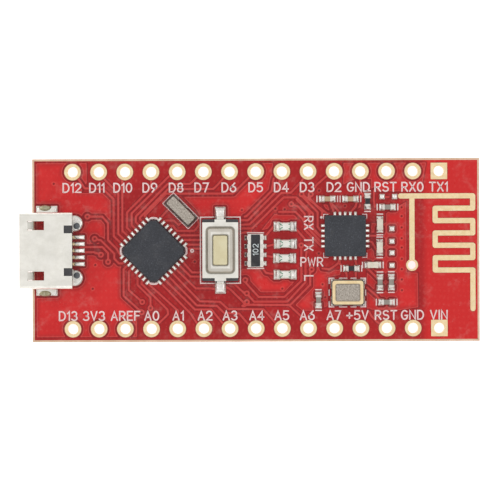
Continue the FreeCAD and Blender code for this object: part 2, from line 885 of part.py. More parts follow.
def make_lands():
    """The bare solder lands of both faces."""
    node(group(lay_out(top_footprints(), "0", s.board_thickness)), "smd_pads_top")
    node(group(lay_out(bottom_footprints(), "0", "0", over=True)), "smd_pads_bottom")


# ---------------------------------------------------------------- USB socket
def socket_corners(inset):
    """The socket's cross-section (across, up): wide at the top, tapering to the board."""
    run = f"({s.usb_width} / 2 - {s.usb_lower_width} / 2)"
    rise = f"({s.usb_height} - {s.usb_side_height})"
    stretch = f"(sqrt({run} ^ 2 + {rise} ^ 2) / {rise})"
    top = f"({s.usb_height} - {inset})"
    wide = f"({s.usb_width} / 2 - {inset})"
    knee = f"({rise} * ({run} - {inset} + {inset} * {stretch}) / {run})"
    low = f"({s.usb_lower_width} / 2 + {run} * {inset} / {rise} - {inset} * {stretch})"
    east = [(low, inset), (wide, knee), (wide, top)]
    west = [(f"-{y}", z) for y, z in reversed(east)]
    return east + west


def socket_block(label, inset, radius, length, start="0"):
    """A prism of the socket's cross-section, with its long edges rounded."""
    body = new_body(label)
    sketch = sketch_on(body, "YZ_Plane", start)
    outline(sketch, socket_corners(inset))
    pad(body, sketch, length)
    round_edges(body, radius, lambda middle, along: abs(along.x) > 0.9)
    return body


def extrude_along_y(body, corners, width, y="0"):
    """A strip whose side view (x, z) is extruded across the board about y."""
    sketch = sketch_on(body, "XZ_Plane", f"-({y})")
    outline(sketch, corners)
    return pad(body, sketch, width, midplane=True)


def make_socket():
    """Shell, plastic and contacts of the USB socket, drawn from its mouth."""
    wall, fit = s.usb_wall, s.usb_fit
    height, depth = s.usb_height, s.usb_depth
    outer = socket_block("usb_outside", "0", s.usb_corner, depth)
    inner = socket_block("usb_inside", wall, f"{s.usb_corner} - {wall}", f"{depth} + 0.4", "-0.2")
    tools = [inner]
    additions = []
    window_x = f"({s.usb_window_inset} + {s.usb_window_length} / 2)"
    notch_x = f"({depth} - {s.usb_notch_length} / 2 + 0.05)"
    tail_width = f"(4 * {s.usb_contact_pitch} + {s.usb_contact_width} + 0.7)"
    tools.append(box(f"{depth} - {s.usb_block_length} + 0.1", f"{depth} + 0.1",
                     f"-{tail_width} / 2", f"{tail_width} / 2", "-0.1", f"{wall} + 0.1"))
    for sign in ("", "-"):
        y = f"{sign}{s.usb_window_spread} / 2"
        for low, high in ((f"{height} - {wall} - 0.1", f"{height} + 0.1"), ("-0.1", f"{wall} + 0.35")):
            tools.append(centred_box(s.usb_window_length, s.usb_window_width, low, high, window_x, y))
        y = f"{sign}{s.usb_notch_spread} / 2"
        tools.append(centred_box(f"{s.usb_notch_length} + 0.1", s.usb_notch_width,
                                 f"{height} - {wall} - 0.1", f"{height} + 0.1", notch_x, y))
        additions.append(latch_tongue(f"{sign}{s.usb_window_spread} / 2"))
        additions.append(side_foot(sign))
        heel_y = f"{sign}{s.usb_heel_spread} / 2"
        additions.append(box(f"{depth} - 0.3", f"{depth} + {s.usb_heel_length}",
                             f"{heel_y} - {s.usb_heel_width} / 2",
                             f"{heel_y} + {s.usb_heel_width} / 2", "0", wall))
    tube = cut(outer, fuse(tools))
    shell = fuse([tube] + [cut(extra, inner) for extra in additions[1::3]]
                 + additions[0::3] + [cut(heel, inner) for heel in additions[2::3]])
    node(place(group([shell]), USB_MOUTH, "0", TOP_SEAT), "usb_shell")

    block = socket_block("usb_block", f"({wall} + {fit})", f"{s.usb_corner} - {wall}",
                         f"{s.usb_block_length} - 0.05", f"{depth} - {s.usb_block_length}")
    tongue_low = f"({s.usb_tongue_height} - {s.usb_tongue_thickness} / 2)"
    tongue = box(f"{depth} - {s.usb_block_length} - {s.usb_tongue_length}",
                 f"{depth} - {s.usb_block_length} + 0.2",
                 f"-{s.usb_tongue_width} / 2", f"{s.usb_tongue_width} / 2",
                 tongue_low, f"{tongue_low} + {s.usb_tongue_thickness}")
    plug = box(f"{depth} - {s.usb_block_length} + 0.1 + {fit}", f"{depth} - 0.05",
               f"-{tail_width} / 2 + {fit}", f"{tail_width} / 2 - {fit}", "0.02", f"{wall} + 0.2")
    ribs = []
    for sign in ("", "-"):
        y = f"{sign}{s.usb_notch_spread} / 2"
        ribs.append(box(f"{depth} - {s.usb_notch_length} + {fit}", f"{depth} - 0.05",
                        f"{y} - {s.usb_notch_width} / 2 + {fit}",
                        f"{y} + {s.usb_notch_width} / 2 - {fit}",
                        f"{height} - {wall} - 0.2", f"{height} - 0.06"))
    contacts = make_contacts(tongue_low)
    plastic = cut(fuse([block, tongue, plug] + ribs), contacts)
    node(place(group([plastic]), USB_MOUTH, "0", TOP_SEAT), "usb_insulator")
    node(place(group([contacts]), USB_MOUTH, "0", TOP_SEAT), "usb_contacts")


def latch_tongue(y):
    """The spring tongue that hangs into a window and holds the plug."""
    start = f"({s.usb_window_inset})"
    end = f"({start} + {s.usb_latch_length})"
    top = s.usb_height
    body = new_body("usb_latch")
    corners = [
        (f"{start} - 0.1", top), (f"{start} - 0.1", f"{top} - {s.usb_wall}"),
        (start, f"{top} - {s.usb_wall}"),
        (end, f"{top} - {s.usb_wall} - {s.usb_latch_drop}"),
        (end, f"{top} - {s.usb_latch_drop}"), (start, top),
    ]
    extrude_along_y(body, corners, f"{s.usb_window_width} - 0.1", y)
    return body


def side_foot(sign):
    """A foot folded down beside the shell and out onto its land."""
    half = f"{s.usb_width} / 2"
    knee = f"({s.usb_height} - {s.usb_side_height} + 0.25)"
    body = new_body("usb_foot")
    sketch = sketch_on(body, "YZ_Plane", s.usb_foot_inset)
    corners = [
        (f"{sign}({half} - {s.usb_wall})", knee), (f"{sign}({half} - {s.usb_wall})", "0"),
        (f"{sign}({half} + {s.usb_foot_reach})", "0"),
        (f"{sign}({half} + {s.usb_foot_reach})", s.usb_wall),
        (f"{sign}({half})", s.usb_wall), (f"{sign}({half})", knee),
    ]
    outline(sketch, corners)
    pad(body, sketch, s.usb_foot_length)
    return body


def make_contacts(tongue_low):
    """Five contacts: along the tongue, down through the block and out onto the board."""
    body = new_body("usb_contact_strip")
    t = s.usb_contact_thickness
    high = f"({tongue_low} + 0.1)"
    front = f"({s.usb_depth} - {s.usb_block_length} - {s.usb_tongue_length} + 0.25)"
    bend = f"({s.usb_depth} - {s.usb_tail_drop})"
    tip = f"({s.usb_depth} + {s.usb_tail_length})"
    corners = [
        (front, high), (front, f"{high} - {t}"), (f"{bend} - {t}", f"{high} - {t}"),
        (f"{bend} - {t}", "0"), (tip, "0"), (tip, t), (bend, t), (bend, high),
    ]
    first = extrude_along_y(body, corners, s.usb_contact_width, f"-2 * {s.usb_contact_pitch}")
    repeat(body, first, "Y_Axis", "5", f"4 * {s.usb_contact_pitch}")
    return body


# ---------------------------------------------------------------- reset switch
def make_switch():
    """A surface-mounted push switch: base, stamped cover, button, snap dome and terminals."""
    base_top = s.switch_base_height
    fit = "0.02"
    button_bottom = f"({s.switch_floor} + {s.dome_rise} + {s.dome_gap})"
    flange_top = f"({base_top} + {s.plateau_rise} - 0.05)"
    flange_low = f"({flange_top} - {s.button_flange_height})"
    skirt_low = f"({base_top} + {s.switch_sheet} - {s.switch_skirt})"
    tab_end = f"({s.switch_length} / 2 - 0.02)"

    base = new_body("switch_block")
    sketch = sketch_on(base, "XY_Plane")
    rectangle(sketch, s.switch_width, s.switch_length)
    pad(base, sketch, base_top)
    round_edges(base, "0.1", upright)
    sketch = sketch_on(base, "XY_Plane", base_top)
    rectangle(sketch, f"{s.button_width} + 2 * {s.button_flange} + 0.25",
              f"{s.button_length} + 2 * {s.button_flange} + 0.25")
    pocket(base, sketch, f"{base_top} - {s.switch_floor}")
    recess_low = f"({skirt_low} - {fit})"
    inner_width = f"({s.switch_width} - 0.03 - 2 * {s.switch_sheet} - 2 * {fit})"
    tools = []
    for sign in ("", "-"):
        side = f"{sign}({inner_width} / 2 + 0.3)"
        tools.append(centred_box("0.6", f"{s.switch_cover_length} + 2 * {fit}",
                                 recess_low, f"{base_top} + 0.1", side, "0"))
        end = f"{sign}({tab_end} - {s.switch_sheet} - {fit} + 0.3)"
        tools.append(centred_box(f"{s.switch_tab_width} + 2 * {fit}", "0.6",
                                 recess_low, f"{base_top} + 0.1", "0", end))
    terminals = make_switch_terminals()
    block = cut(cut(base, fuse(tools)), terminals)
    seat = (s.switch_x, s.switch_y, TOP_SEAT)
    node(place(group([block]), *seat), "reset_switch_base")
    node(place(group([terminals]), *seat), "reset_switch_terminals")

    cover = new_body("reset_switch_cover")
    half_w = f"({s.switch_width} / 2 - 0.015)"
    half_l = f"({s.switch_cover_length} / 2)"
    half_t = f"({s.switch_tab_width} / 2)"
    quarter = [(half_w, f"-{half_l}"), (half_w, half_l), (half_t, half_l), (half_t, tab_end)]
    opposite = [(f"-{half_t}", tab_end), (f"-{half_t}", half_l), (f"-{half_w}", half_l),
                (f"-{half_w}", f"-{half_l}")]
    lower = [(f"-{half_t}", f"-{half_l}"), (f"-{half_t}", f"-{tab_end}"),
             (half_t, f"-{tab_end}"), (half_t, f"-{half_l}")]
    sketch = sketch_on(cover, "XY_Plane", base_top)
    outline(sketch, quarter + opposite + lower)
    pad(cover, sketch, s.switch_sheet)
    sketch = sketch_on(cover, "XY_Plane", f"{base_top} + {s.switch_sheet}")
    plateau_width = f"({s.button_width} + 2 * {s.plateau_side})"
    plateau_length = f"({s.button_length} + 2 * {s.plateau_end})"
    rounded_rectangle(sketch, plateau_width, plateau_length, s.plateau_corner)
    pad(cover, sketch, s.plateau_rise, taper=s.plateau_slope)
    sketch = sketch_on(cover, "XY_Plane", base_top)
    rounded_rectangle(sketch, f"{plateau_width} - 2 * {s.switch_sheet}",
                      f"{plateau_length} - 2 * {s.switch_sheet}",
                      f"{s.plateau_corner} - {s.switch_sheet}")
    hollow = pocket(cover, sketch, s.plateau_rise, upward=True)
    bind(hollow, TaperAngle=f"-({s.plateau_slope})")
    sketch = sketch_on(cover, "XY_Plane", f"{base_top} + {s.switch_sheet} + {s.plateau_rise}")
    rounded_rectangle(sketch, f"{s.button_width} + 2 * {s.button_gap}",
                      f"{s.button_length} + 2 * {s.button_gap}", "0.15")
    pocket(cover, sketch, f"{s.switch_sheet} + {s.plateau_rise}")
    sketch = sketch_on(cover, "XY_Plane", f"{base_top} + {s.switch_sheet}")
    for sign in ("", "-"):
        rectangle(sketch, s.switch_sheet, s.switch_cover_length,
                  f"{sign}({half_w} - {s.switch_sheet} / 2)")
        rectangle(sketch, s.switch_tab_width, s.switch_sheet, "0",
                  f"{sign}({tab_end} - {s.switch_sheet} / 2)")
    pad(cover, sketch, s.switch_skirt, down=True)
    node(place(cover, *seat), "reset_switch_cover")

    button = new_body("reset_switch_button")
    sketch = sketch_on(button, "XY_Plane", flange_low)
    rounded_rectangle(sketch, f"{s.button_width} + 2 * {s.button_flange}",
                      f"{s.button_length} + 2 * {s.button_flange}", "0.12")
    pad(button, sketch, s.button_flange_height)
    sketch = sketch_on(button, "XY_Plane", flange_top)
    rounded_rectangle(sketch, s.button_width, s.button_length, "0.15")
    pad(button, sketch, f"{s.button_top} - {flange_top}")
    round_edges(button, s.button_edge,
                lambda middle, along: middle.z > size("button_top") - 1e-4)
    sketch = sketch_on(button, "XY_Plane", flange_low)
    circle(sketch, f"2 * {s.nub_radius}")
    pad(button, sketch, f"{flange_low} - {button_bottom}", down=True)
    node(place(button, *seat), "reset_switch_button")

    radius = f"(({s.dome_radius} ^ 2 + {s.dome_rise} ^ 2) / (2 * {s.dome_rise}))"
    centre = f"({s.switch_floor} + {s.dome_rise} - {radius})"
    shell = cut(ball(radius, centre), ball(f"{radius} - {s.dome_thickness}", centre))
    dome = common(shell, rod("4", s.switch_floor, "3"))
    node(place(group([dome]), *seat), "reset_switch_dome")


def rounded_rectangle(sketch, length, width, radius, x="0", y="0"):
    """A rectangle with its corners cut back and arced, about the sketch's origin."""
    half_l, half_w = evaluate(f"({length}) / 2"), evaluate(f"({width}) / 2")
    r = evaluate(radius)
    spots = [(half_l - r, half_w - r, 0), (r - half_l, half_w - r, 90),
             (r - half_l, r - half_w, 180), (half_l - r, r - half_w, 270)]
    first = sketch.GeometryCount
    up = FreeCAD.Vector(0, 0, 1)
    for x0, y0, angle in spots:
        ring = Part.Circle(FreeCAD.Vector(x0, y0, 0), up, r)
        a0 = angle * 3.141592653589793 / 180
        sketch.addGeometry(Part.ArcOfCircle(ring, a0, a0 + 3.141592653589793 / 2))
    for i in range(4):
        start = sketch.getPoint(first + i, 2)
        end = sketch.getPoint(first + (i + 1) % 4, 1)
        sketch.addGeometry(Part.LineSegment(start, end))
    for i in range(4):
        line = first + 4 + i
        sketch.addConstraint(Sketcher.Constraint("Tangent", first + i, 2, line, 1))
        sketch.addConstraint(Sketcher.Constraint("Tangent", line, 2, first + (i + 1) % 4, 1))
        kind = "Horizontal" if i % 2 == 0 else "Vertical"
        sketch.addConstraint(Sketcher.Constraint(kind, line))
    for i in range(3):
        sketch.addConstraint(Sketcher.Constraint("Equal", first + i, first + i + 1))
    at = sketch.addConstraint(Sketcher.Constraint("Radius", first, r))
    sketch.setExpression(f"Constraints[{at}]", str(radius))
    pin_down(sketch, first, 3, f"({length}) / 2 - ({radius})", f"({width}) / 2 - ({radius})")
    pin_down(sketch, first + 2, 3, f"({radius}) - ({length}) / 2", f"({radius}) - ({width}) / 2")


def make_switch_terminals():
    """A terminal at each end, from under the dome's rim out and down to its land."""
    body = new_body("switch_terminal_strip")
    t = s.switch_lead_thickness
    high = s.switch_floor
    inner = f"({s.dome_radius} - 0.15)"
    bend = f"({s.switch_length} / 2 + {s.switch_lead_bend} - {t})"
    tip = f"({s.switch_lead_span} / 2)"
    side = [(inner, high), (inner, f"{high} - {t}"), (f"{bend} - 0.15", f"{high} - {t}"),
            (bend, "0"), (tip, "0"), (tip, t), (f"{bend} + {t} * 0.9", t),
            (f"{bend} - 0.15 + {t} * 0.9", high)]
    for sign in ("", "-"):
        sketch = sketch_on(body, "YZ_Plane")
        outline(sketch, [(f"{sign}({y})", z) for y, z in side])
        pad(body, sketch, s.switch_lead_width, midplane=True)
    return body


# ---------------------------------------------------------------- square leadless packages
def make_square_package(name):
    """Moulded body with cut corners, a ring of flat leads round a paddle, and the chip inside."""
    span, mould = f"sizes.{name}_span", f"sizes.{name}_body"
    corner, height = f"sizes.{name}_corner", f"sizes.{name}_height"
    paddle = f"sizes.{name}_paddle"
    body = new_body(f"{name}_mould")
    near, far = f"({mould} / 2 - {corner})", f"({mould} / 2)"
    corners = [(far, f"-{near}"), (far, near), (near, far), (f"-{near}", far),
               (f"-{far}", near), (f"-{far}", f"-{near}"), (f"-{near}", f"-{far}"),
               (near, f"-{far}")]
    sketch = sketch_on(body, "XY_Plane")
    outline(sketch, corners)
    pad(body, sketch, s.lead_height)
    sketch = sketch_on(body, "XY_Plane", s.lead_height)
    outline(sketch, corners)
    pad(body, sketch, f"{height} - {s.lead_height}", taper=f"sizes.{name}_draft")
    count = int(size(f"{name}_leads_per_side"))
    leads = []
    for i in range(count):
        low = f"(({i} - ({count} - 1) / 2) * {s.lead_pitch} - {s.lead_width} / 2)"
        high = f"({low} + {s.lead_width})"
        inner, outer = f"({span} / 2 - {s.lead_length})", f"({span} / 2)"
        leads.append(box(inner, outer, low, high, "0", s.lead_height))
        leads.append(box(f"-{outer}", f"-{inner}", low, high, "0", s.lead_height))
        leads.append(box(low, high, inner, outer, "0", s.lead_height))
        leads.append(box(low, high, f"-{outer}", f"-{inner}", "0", s.lead_height))
    leads.append(centred_box(paddle, paddle, "0", s.lead_height))
    frame = group(leads)
    chip_size = f"{paddle} * {s.die_share}"
    chip = centred_box(chip_size, chip_size, s.lead_height, f"{s.lead_height} + {s.die_height}")
    moulding = cut(cut(body, frame), chip)
    seat = (f"sizes.{name}_x", f"sizes.{name}_y", TOP_SEAT, f"sizes.{name}_turn")
    node(place(group([moulding]), *seat), f"{name}_body")
    node(place(group([frame]), *seat), f"{name}_leadframe")
    node(place(group([chip]), *seat), f"{name}_die")


# ---------------------------------------------------------------- crystal and resonator
def make_crystal():
    """Ceramic tray, plated seal ring, welded lid, and the quartz blank on its ledge."""
    length, width = s.crystal_length, s.crystal_width
    tray = new_body("crystal_base")
    sketch = sketch_on(tray, "XY_Plane")
    rectangle(sketch, length, width)
    pad(tray, sketch, s.crystal_base_height)
    hollow_l, hollow_w = f"({length} - 2 * {s.crystal_wall})", f"({width} - 2 * {s.crystal_wall})"
    sketch = sketch_on(tray, "XY_Plane", s.crystal_base_height)
    rectangle(sketch, hollow_l, hollow_w)
    pocket(tray, sketch, f"{s.crystal_base_height} - {s.quartz_seat}")
    sketch = sketch_on(tray, "XY_Plane", s.quartz_seat)
    rectangle(sketch, f"{hollow_l} - {s.quartz_ledge}", hollow_w, f"{s.quartz_ledge} / 2")
    pocket(tray, sketch, "0.1")
    sketch = sketch_on(tray, "XY_Plane", s.crystal_base_height)
    for i in ("", "-"):
        for j in ("", "-"):
            circle(sketch, "0.3", f"{i}{length} / 2", f"{j}{width} / 2")
    pocket(tray, sketch, s.crystal_base_height)
    seat = (s.crystal_x, s.crystal_y, TOP_SEAT)
    node(place(tray, *seat), "crystal_base")

    ring = new_body("crystal_seal_ring")
    sketch = sketch_on(ring, "XY_Plane", s.crystal_base_height)
    rounded_rectangle(sketch, f"{length} - 2 * {s.crystal_ring_inset}",
                      f"{width} - 2 * {s.crystal_ring_inset}", "0.25")
    rectangle(sketch, hollow_l, hollow_w)
    pad(ring, sketch, s.crystal_ring_height)
    node(place(ring, *seat), "crystal_seal_ring")

    lid = new_body("crystal_lid")
    sketch = sketch_on(lid, "XY_Plane", f"{s.crystal_base_height} + {s.crystal_ring_height}")
    rounded_rectangle(sketch, f"{length} - 2 * {s.crystal_lid_inset}",
                      f"{width} - 2 * {s.crystal_lid_inset}", "0.18")
    pad(lid, sketch, s.crystal_lid_height)
    node(place(lid, *seat), "crystal_lid")
    blank_x = f"(-{hollow_l} / 2 + {s.quartz_length} / 2 + 0.05)"
    blank = centred_box(s.quartz_length, s.quartz_width, s.quartz_seat,
                        f"{s.quartz_seat} + {s.quartz_thickness}", blank_x)
    node(place(group([blank]), *seat), "crystal_quartz_blank")


def make_resonator():
    """Ceramic base, drawn metal lid, and the vibrating element on its base."""
    base = new_body("resonator_base")
    sketch = sketch_on(base, "XY_Plane")
    rounded_rectangle(sketch, s.resonator_length, s.resonator_width, "0.1")
    pad(base, sketch, s.resonator_base_height)
    seat = (s.resonator_x, s.resonator_y, TOP_SEAT, s.resonator_turn)
    node(place(base, *seat), "resonator_base")
    lid = new_body("resonator_lid")
    inset, wall = s.resonator_lid_inset, s.resonator_lid_wall
    sketch = sketch_on(lid, "XY_Plane", s.resonator_base_height)
    rounded_rectangle(sketch, f"{s.resonator_length} - 2 * {inset}",
                      f"{s.resonator_width} - 2 * {inset}", "0.2")
    pad(lid, sketch, s.resonator_lid_height)
    lid_top = size("resonator_base_height") + size("resonator_lid_height")
    round_edges(lid, s.resonator_lid_corner, lambda middle, along: middle.z > lid_top - 1e-4)
    sketch = sketch_on(lid, "XY_Plane", s.resonator_base_height)
    rectangle(sketch, f"{s.resonator_length} - 2 * {inset} - 2 * {wall} - 0.1",
              f"{s.resonator_width} - 2 * {inset} - 2 * {wall} - 0.1")
    pocket(lid, sketch, f"{s.resonator_lid_height} - {wall}", upward=True)
    node(place(lid, *seat), "resonator_lid")
    gap = f"({inset} + {wall} + {s.element_inset} + 0.05)"
    element = centred_box(f"{s.resonator_length} - 2 * {gap}", f"{s.resonator_width} - 2 * {gap}",
                          s.resonator_base_height,
                          f"{s.resonator_base_height} + {s.element_height}")
    node(place(group([element]), *seat), "resonator_element")


# ---------------------------------------------------------------- small chips
def copies(piece, names, seat, over=False):
    """The same drawn part standing at each named place."""
    drawn = group([piece])
    placed = []
    for name in names:
        link = doc.addObject("App::Link", "copy")
        link.LinkedObject = drawn
        link.LinkTransform = False
        x, y, turn = spot(name)
        if over:
            place(link, x, y, seat, over=True)
        else:
            place(link, x, y, seat, turn)
        placed.append(link)
    return placed


def end_caps(label, length, width, height, terminal, edge):
    """Two metal end caps: a rounded block with its middle cut away."""
    body = new_body(label)
    sketch = sketch_on(body, "XY_Plane")
    rectangle(sketch, length, width)
    pad(body, sketch, height)
    round_edges(body, edge, lambda middle, along: True)
    sketch = sketch_on(body, "XY_Plane", height)
    rectangle(sketch, f"{length} - 2 * {terminal}", f"{width} + 0.2")
    pocket(body, sketch, height)
    return body


def mid_block(length, width, height, terminal, relief=None):
    """The block between two end caps, a hair smaller than they are."""
    relief = relief or s.chip_relief
    return centred_box(f"{length} - 2 * {terminal}", f"{width} - 2 * {relief}",
                       relief, f"{height} - {relief}")


def film(length, width, height, terminal):
    """The dark lacquer over a chip resistor's track."""
    return centred_box(f"{length} - 2 * {terminal}", f"{width} - 2 * {s.chip_relief}",
                       f"{height} - {s.chip_relief}", f"{height} + {s.coat_thickness} / 2")


def make_small_parts():
    """Capacitors, resistors and coils of the top face."""
    sizes_small = (s.small_length, s.small_width, s.small_height, s.small_terminal)
    cap_body = mid_block(*sizes_small)
    cap_ends = end_caps("small_cap_ends", *sizes_small, s.chip_edge)
    grey = [name for name in SMALL_CAPACITORS if name not in TAN_CAPACITORS]
    node(group(copies(cap_body, TAN_CAPACITORS, TOP_SEAT)), "capacitor_bodies_tan")
    node(group(copies(cap_body, grey, TOP_SEAT)), "capacitor_bodies_grey")
    node(group(copies(cap_ends, SMALL_CAPACITORS, TOP_SEAT)), "capacitor_terminals_top")

    flat = (s.small_length, s.small_width, s.small_resistor_height, s.small_terminal)
    node(group(copies(mid_block(*flat), SMALL_RESISTORS, TOP_SEAT)), "resistor_bodies_top")
    node(group(copies(film(*flat), SMALL_RESISTORS, TOP_SEAT)), "resistor_coats_top")
    ends = end_caps("small_resistor_ends", *flat, s.chip_edge)
    node(group(copies(ends, SMALL_RESISTORS, TOP_SEAT)), "resistor_terminals_top")

    coil = new_body("coil_block")
    sketch = sketch_on(coil, "XY_Plane", s.chip_relief)
    rectangle(sketch, f"{s.inductor_length} - 2 * {s.chip_relief}", s.inductor_width)
    pad(coil, sketch, s.inductor_height)
    round_edges(coil, s.chip_edge, lambda middle, along: True)
    clips = []
    for sign in (1, -1):
        x = f"{sign} * ({s.inductor_length} / 2 - {s.inductor_terminal} / 2)"
        clips.append(centred_box(s.inductor_terminal, f"{s.inductor_width} + 0.02", "0",
                                 s.inductor_terminal_height, x))
    clip_pair = cut(group(clips), coil)
    node(group(copies(coil, SMALL_INDUCTORS, TOP_SEAT)), "inductor_bodies")
    node(group(copies(clip_pair, SMALL_INDUCTORS, TOP_SEAT)), "inductor_terminals")


def make_leds():
    """Light-emitting diodes: base, two plated ends with a half-round notch, lens and chip."""
    length, width = s.led_length, s.led_width
    base_height, plate = s.led_base_height, s.led_terminal_height
    notch = [rod("0.34", "-0.1", "1", f"{sign}{length} / 2") for sign in ("", "-")]
    block = centred_box(f"{length} - 2 * {plate}", f"{width} - 0.02", f"{plate} / 2", base_height)
    ends = []
    for sign in ("", "-"):
        x = f"{sign}({length} / 2 - {s.led_terminal} / 2)"
        ends.append(centred_box(s.led_terminal, width, "0", f"{base_height} + {plate}", x))
    end_pair = cut(cut(group(ends), block), fuse(notch))
    base = cut(block, fuse(notch))
    lens = new_body("led_lens")
    gap = f"({length} - 2 * {s.led_terminal})"
    sketch = sketch_on(lens, "XY_Plane", base_height)
    rectangle(sketch, f"{gap} - 0.01", width)
    pad(lens, sketch, s.led_lens_height, taper=s.led_lens_draft)
    chip = centred_box(s.led_chip, s.led_chip, base_height, f"{base_height} + 0.12",
                       s.led_chip_offset)
    shaped = cut(lens, chip)
    node(group(copies(base, LEDS, TOP_SEAT)), "led_bases")
    node(group(copies(shaped, LEDS, TOP_SEAT)), "led_lenses")
    node(group(copies(chip, LEDS, TOP_SEAT)), "led_chips")
    node(group(copies(end_pair, LEDS, TOP_SEAT)), "led_terminals")


def make_array():
    """Four resistors on one ceramic strip, with a terminal each side of every resistor."""
    length, width, height = s.array_length, s.array_width, s.array_height
    clips = []
    for sign in ("", "-"):
        for i in range(4):
            x = f"{sign}({width} / 2 - {s.array_terminal_length} / 2 + 0.03)"
            y = f"({i} - 1.5) * {s.array_pitch}"
            clips.append(centred_box(f"{s.array_terminal_length} + 0.06",
                                     s.array_terminal_width, "0", f"{height} + 0.03", x, y))
    strip = centred_box(width, length, "0.03", height)
    coat = centred_box(f"{width} - 2 * {s.array_terminal_length} - 0.02", s.coat_length,
                       height, f"{height} + {s.coat_thickness}")
    terminals = cut(group(clips), strip)
    seat = (s.array_x, s.array_y, TOP_SEAT)
    node(place(group([strip]), *seat), "resistor_array_substrate")
    node(place(group([coat]), *seat), "resistor_array_coat")
    node(place(group([terminals]), *seat), "resistor_array_terminals")


# ---------------------------------------------------------------- packages of the underside
def drafted_block(label, length, width, low, middle, high):
    """A moulded block that narrows upward and downward from its parting line."""
    body = new_body(label)
    for z, reach, down in ((middle, f"{high} - {middle}", False),
                           (middle, f"{middle} - {low}", True)):
        sketch = sketch_on(body, "XY_Plane", z)
        rectangle(sketch, length, width)
        pad(body, sketch, reach, taper=s.mould_draft, down=down)
    return body


def gull_lead(body, sign, span, reach_in, width, x="0"):
    """One bent lead on the +Y or -Y side, seen from its end: out, down and out again."""
    t = s.mould_lead_thickness
    high = f"({s.mould_exit} + {t} / 2)"
    tip = f"({span} / 2)"
    heel = f"({tip} - {s.mould_foot})"
    knee = f"({heel} - 0.12)"
    side = [(reach_in, high), (reach_in, f"{high} - {t}"), (f"{knee} - {t} / 2", f"{high} - {t}"),
            (f"{heel} - {t} / 2", "0"), (tip, "0"), (tip, t), (f"{heel} + {t} / 2", t),
            (f"{knee} + {t} / 2", high)]
    sketch = sketch_on(body, "YZ_Plane", x)
    outline(sketch, [(f"{sign}({y})", z) for y, z in side])
    return pad(body, sketch, width, midplane=True)


def make_moulded(name, sides):
    """A moulded package and its bent leads, turned over onto the underside."""
    length, width = f"sizes.{name}_length", f"sizes.{name}_width"
    height, span = f"sizes.{name}_height", f"sizes.{name}_span"
    block = drafted_block(f"{name}_mould", length, width, s.mould_standoff, s.mould_exit, height)
    strips = []
    for sign, count, pitch, lead_width in sides:
        body = new_body(f"{name}_strip")
        start = f"-({count} - 1) / 2 * {pitch}"
        first = gull_lead(body, sign, span, f"({width} / 2 - 0.35)", lead_width, start)
        if count > 1:
            repeat(body, first, "X_Axis", str(count), f"({count} - 1) * {pitch}")
        strips.append(body)
    leads = group(strips)
    seat = (f"sizes.{name}_x", f"sizes.{name}_y", BOTTOM_SEAT)
    node(place(group([cut(block, leads)]), *seat, over=True), f"{name}_body")
    node(place(group([leads]), *seat, over=True), f"{name}_leads")


def make_tantalums():
    """Moulded tantalum capacitors with a strip folded under each end."""
    length, width, height = s.tantalum_length, s.tantalum_width, s.tantalum_height
    t, foot = s.tantalum_lead_thickness, s.tantalum_lead_foot
    block = new_body("tantalum_block")
    sketch = sketch_on(block, "XY_Plane", s.tantalum_lead_rise)
    rectangle(sketch, f"{length} - 2 * {t}", width)
    pad(block, sketch, f"{height} - {s.tantalum_lead_rise}", taper=s.mould_draft)
    sketch = sketch_on(block, "XY_Plane", s.tantalum_lead_rise)
    rectangle(sketch, f"{length} - 2 * {t}", width)
    pad(block, sketch, f"{s.tantalum_lead_rise} - {t}", down=True)
    strip = new_body("tantalum_strip")
    tip, rise = f"({length} / 2)", s.tantalum_lead_rise
    side = [(f"{tip} - {foot}", "0"), (tip, "0"), (tip, rise), (f"{tip} - {t}", rise),
            (f"{tip} - {t}", t), (f"{tip} - {foot}", t)]
    for sign in ("", "-"):
        extrude_along_y(strip, [(f"{sign}({x})", z) for x, z in side], s.tantalum_lead_width)
    node(group(copies(block, TANTALUMS, BOTTOM_SEAT, over=True)), "tantalum_bodies")
    node(group(copies(strip, TANTALUMS, BOTTOM_SEAT, over=True)), "tantalum_leads")


def make_underside():
    """Serial bridge, regulators, diode and passives of the underside."""
    make_moulded("bridge", [("", 8, s.bridge_lead_pitch, s.bridge_lead_width),
                            ("-", 8, s.bridge_lead_pitch, s.bridge_lead_width)])
    make_moulded("power", [("", 1, "0", s.power_tab_width),
                           ("-", 3, s.power_lead_pitch, s.power_lead_width)])
    make_moulded("supply", [("", 1, "0", s.supply_lead_width),
                            ("-", 2, s.supply_lead_pitch, s.supply_lead_width)])
    make_moulded("diode", [("", 1, "0", s.diode_lead_width), ("-", 1, "0", s.diode_lead_width)])
    make_tantalums()
    tall = (s.large_length, s.large_width, s.large_height, s.large_terminal)
    ends = end_caps("large_cap_ends", *tall, s.chip_edge)
    node(group(copies(mid_block(*tall), LARGE_CAPACITORS, BOTTOM_SEAT, over=True)),
         "capacitor_bodies_bottom")
    node(group(copies(ends, LARGE_CAPACITORS, BOTTOM_SEAT, over=True)),
         "capacitor_terminals_bottom")
    flat = (s.large_length, s.large_width, s.large_resistor_height, s.large_terminal)
    ends = end_caps("large_resistor_ends", *flat, s.chip_edge)
    node(group(copies(mid_block(*flat), LARGE_RESISTORS, BOTTOM_SEAT, over=True)),
         "resistor_bodies_bottom")
    node(group(copies(ends, LARGE_RESISTORS, BOTTOM_SEAT, over=True)),
         "resistor_terminals_bottom")


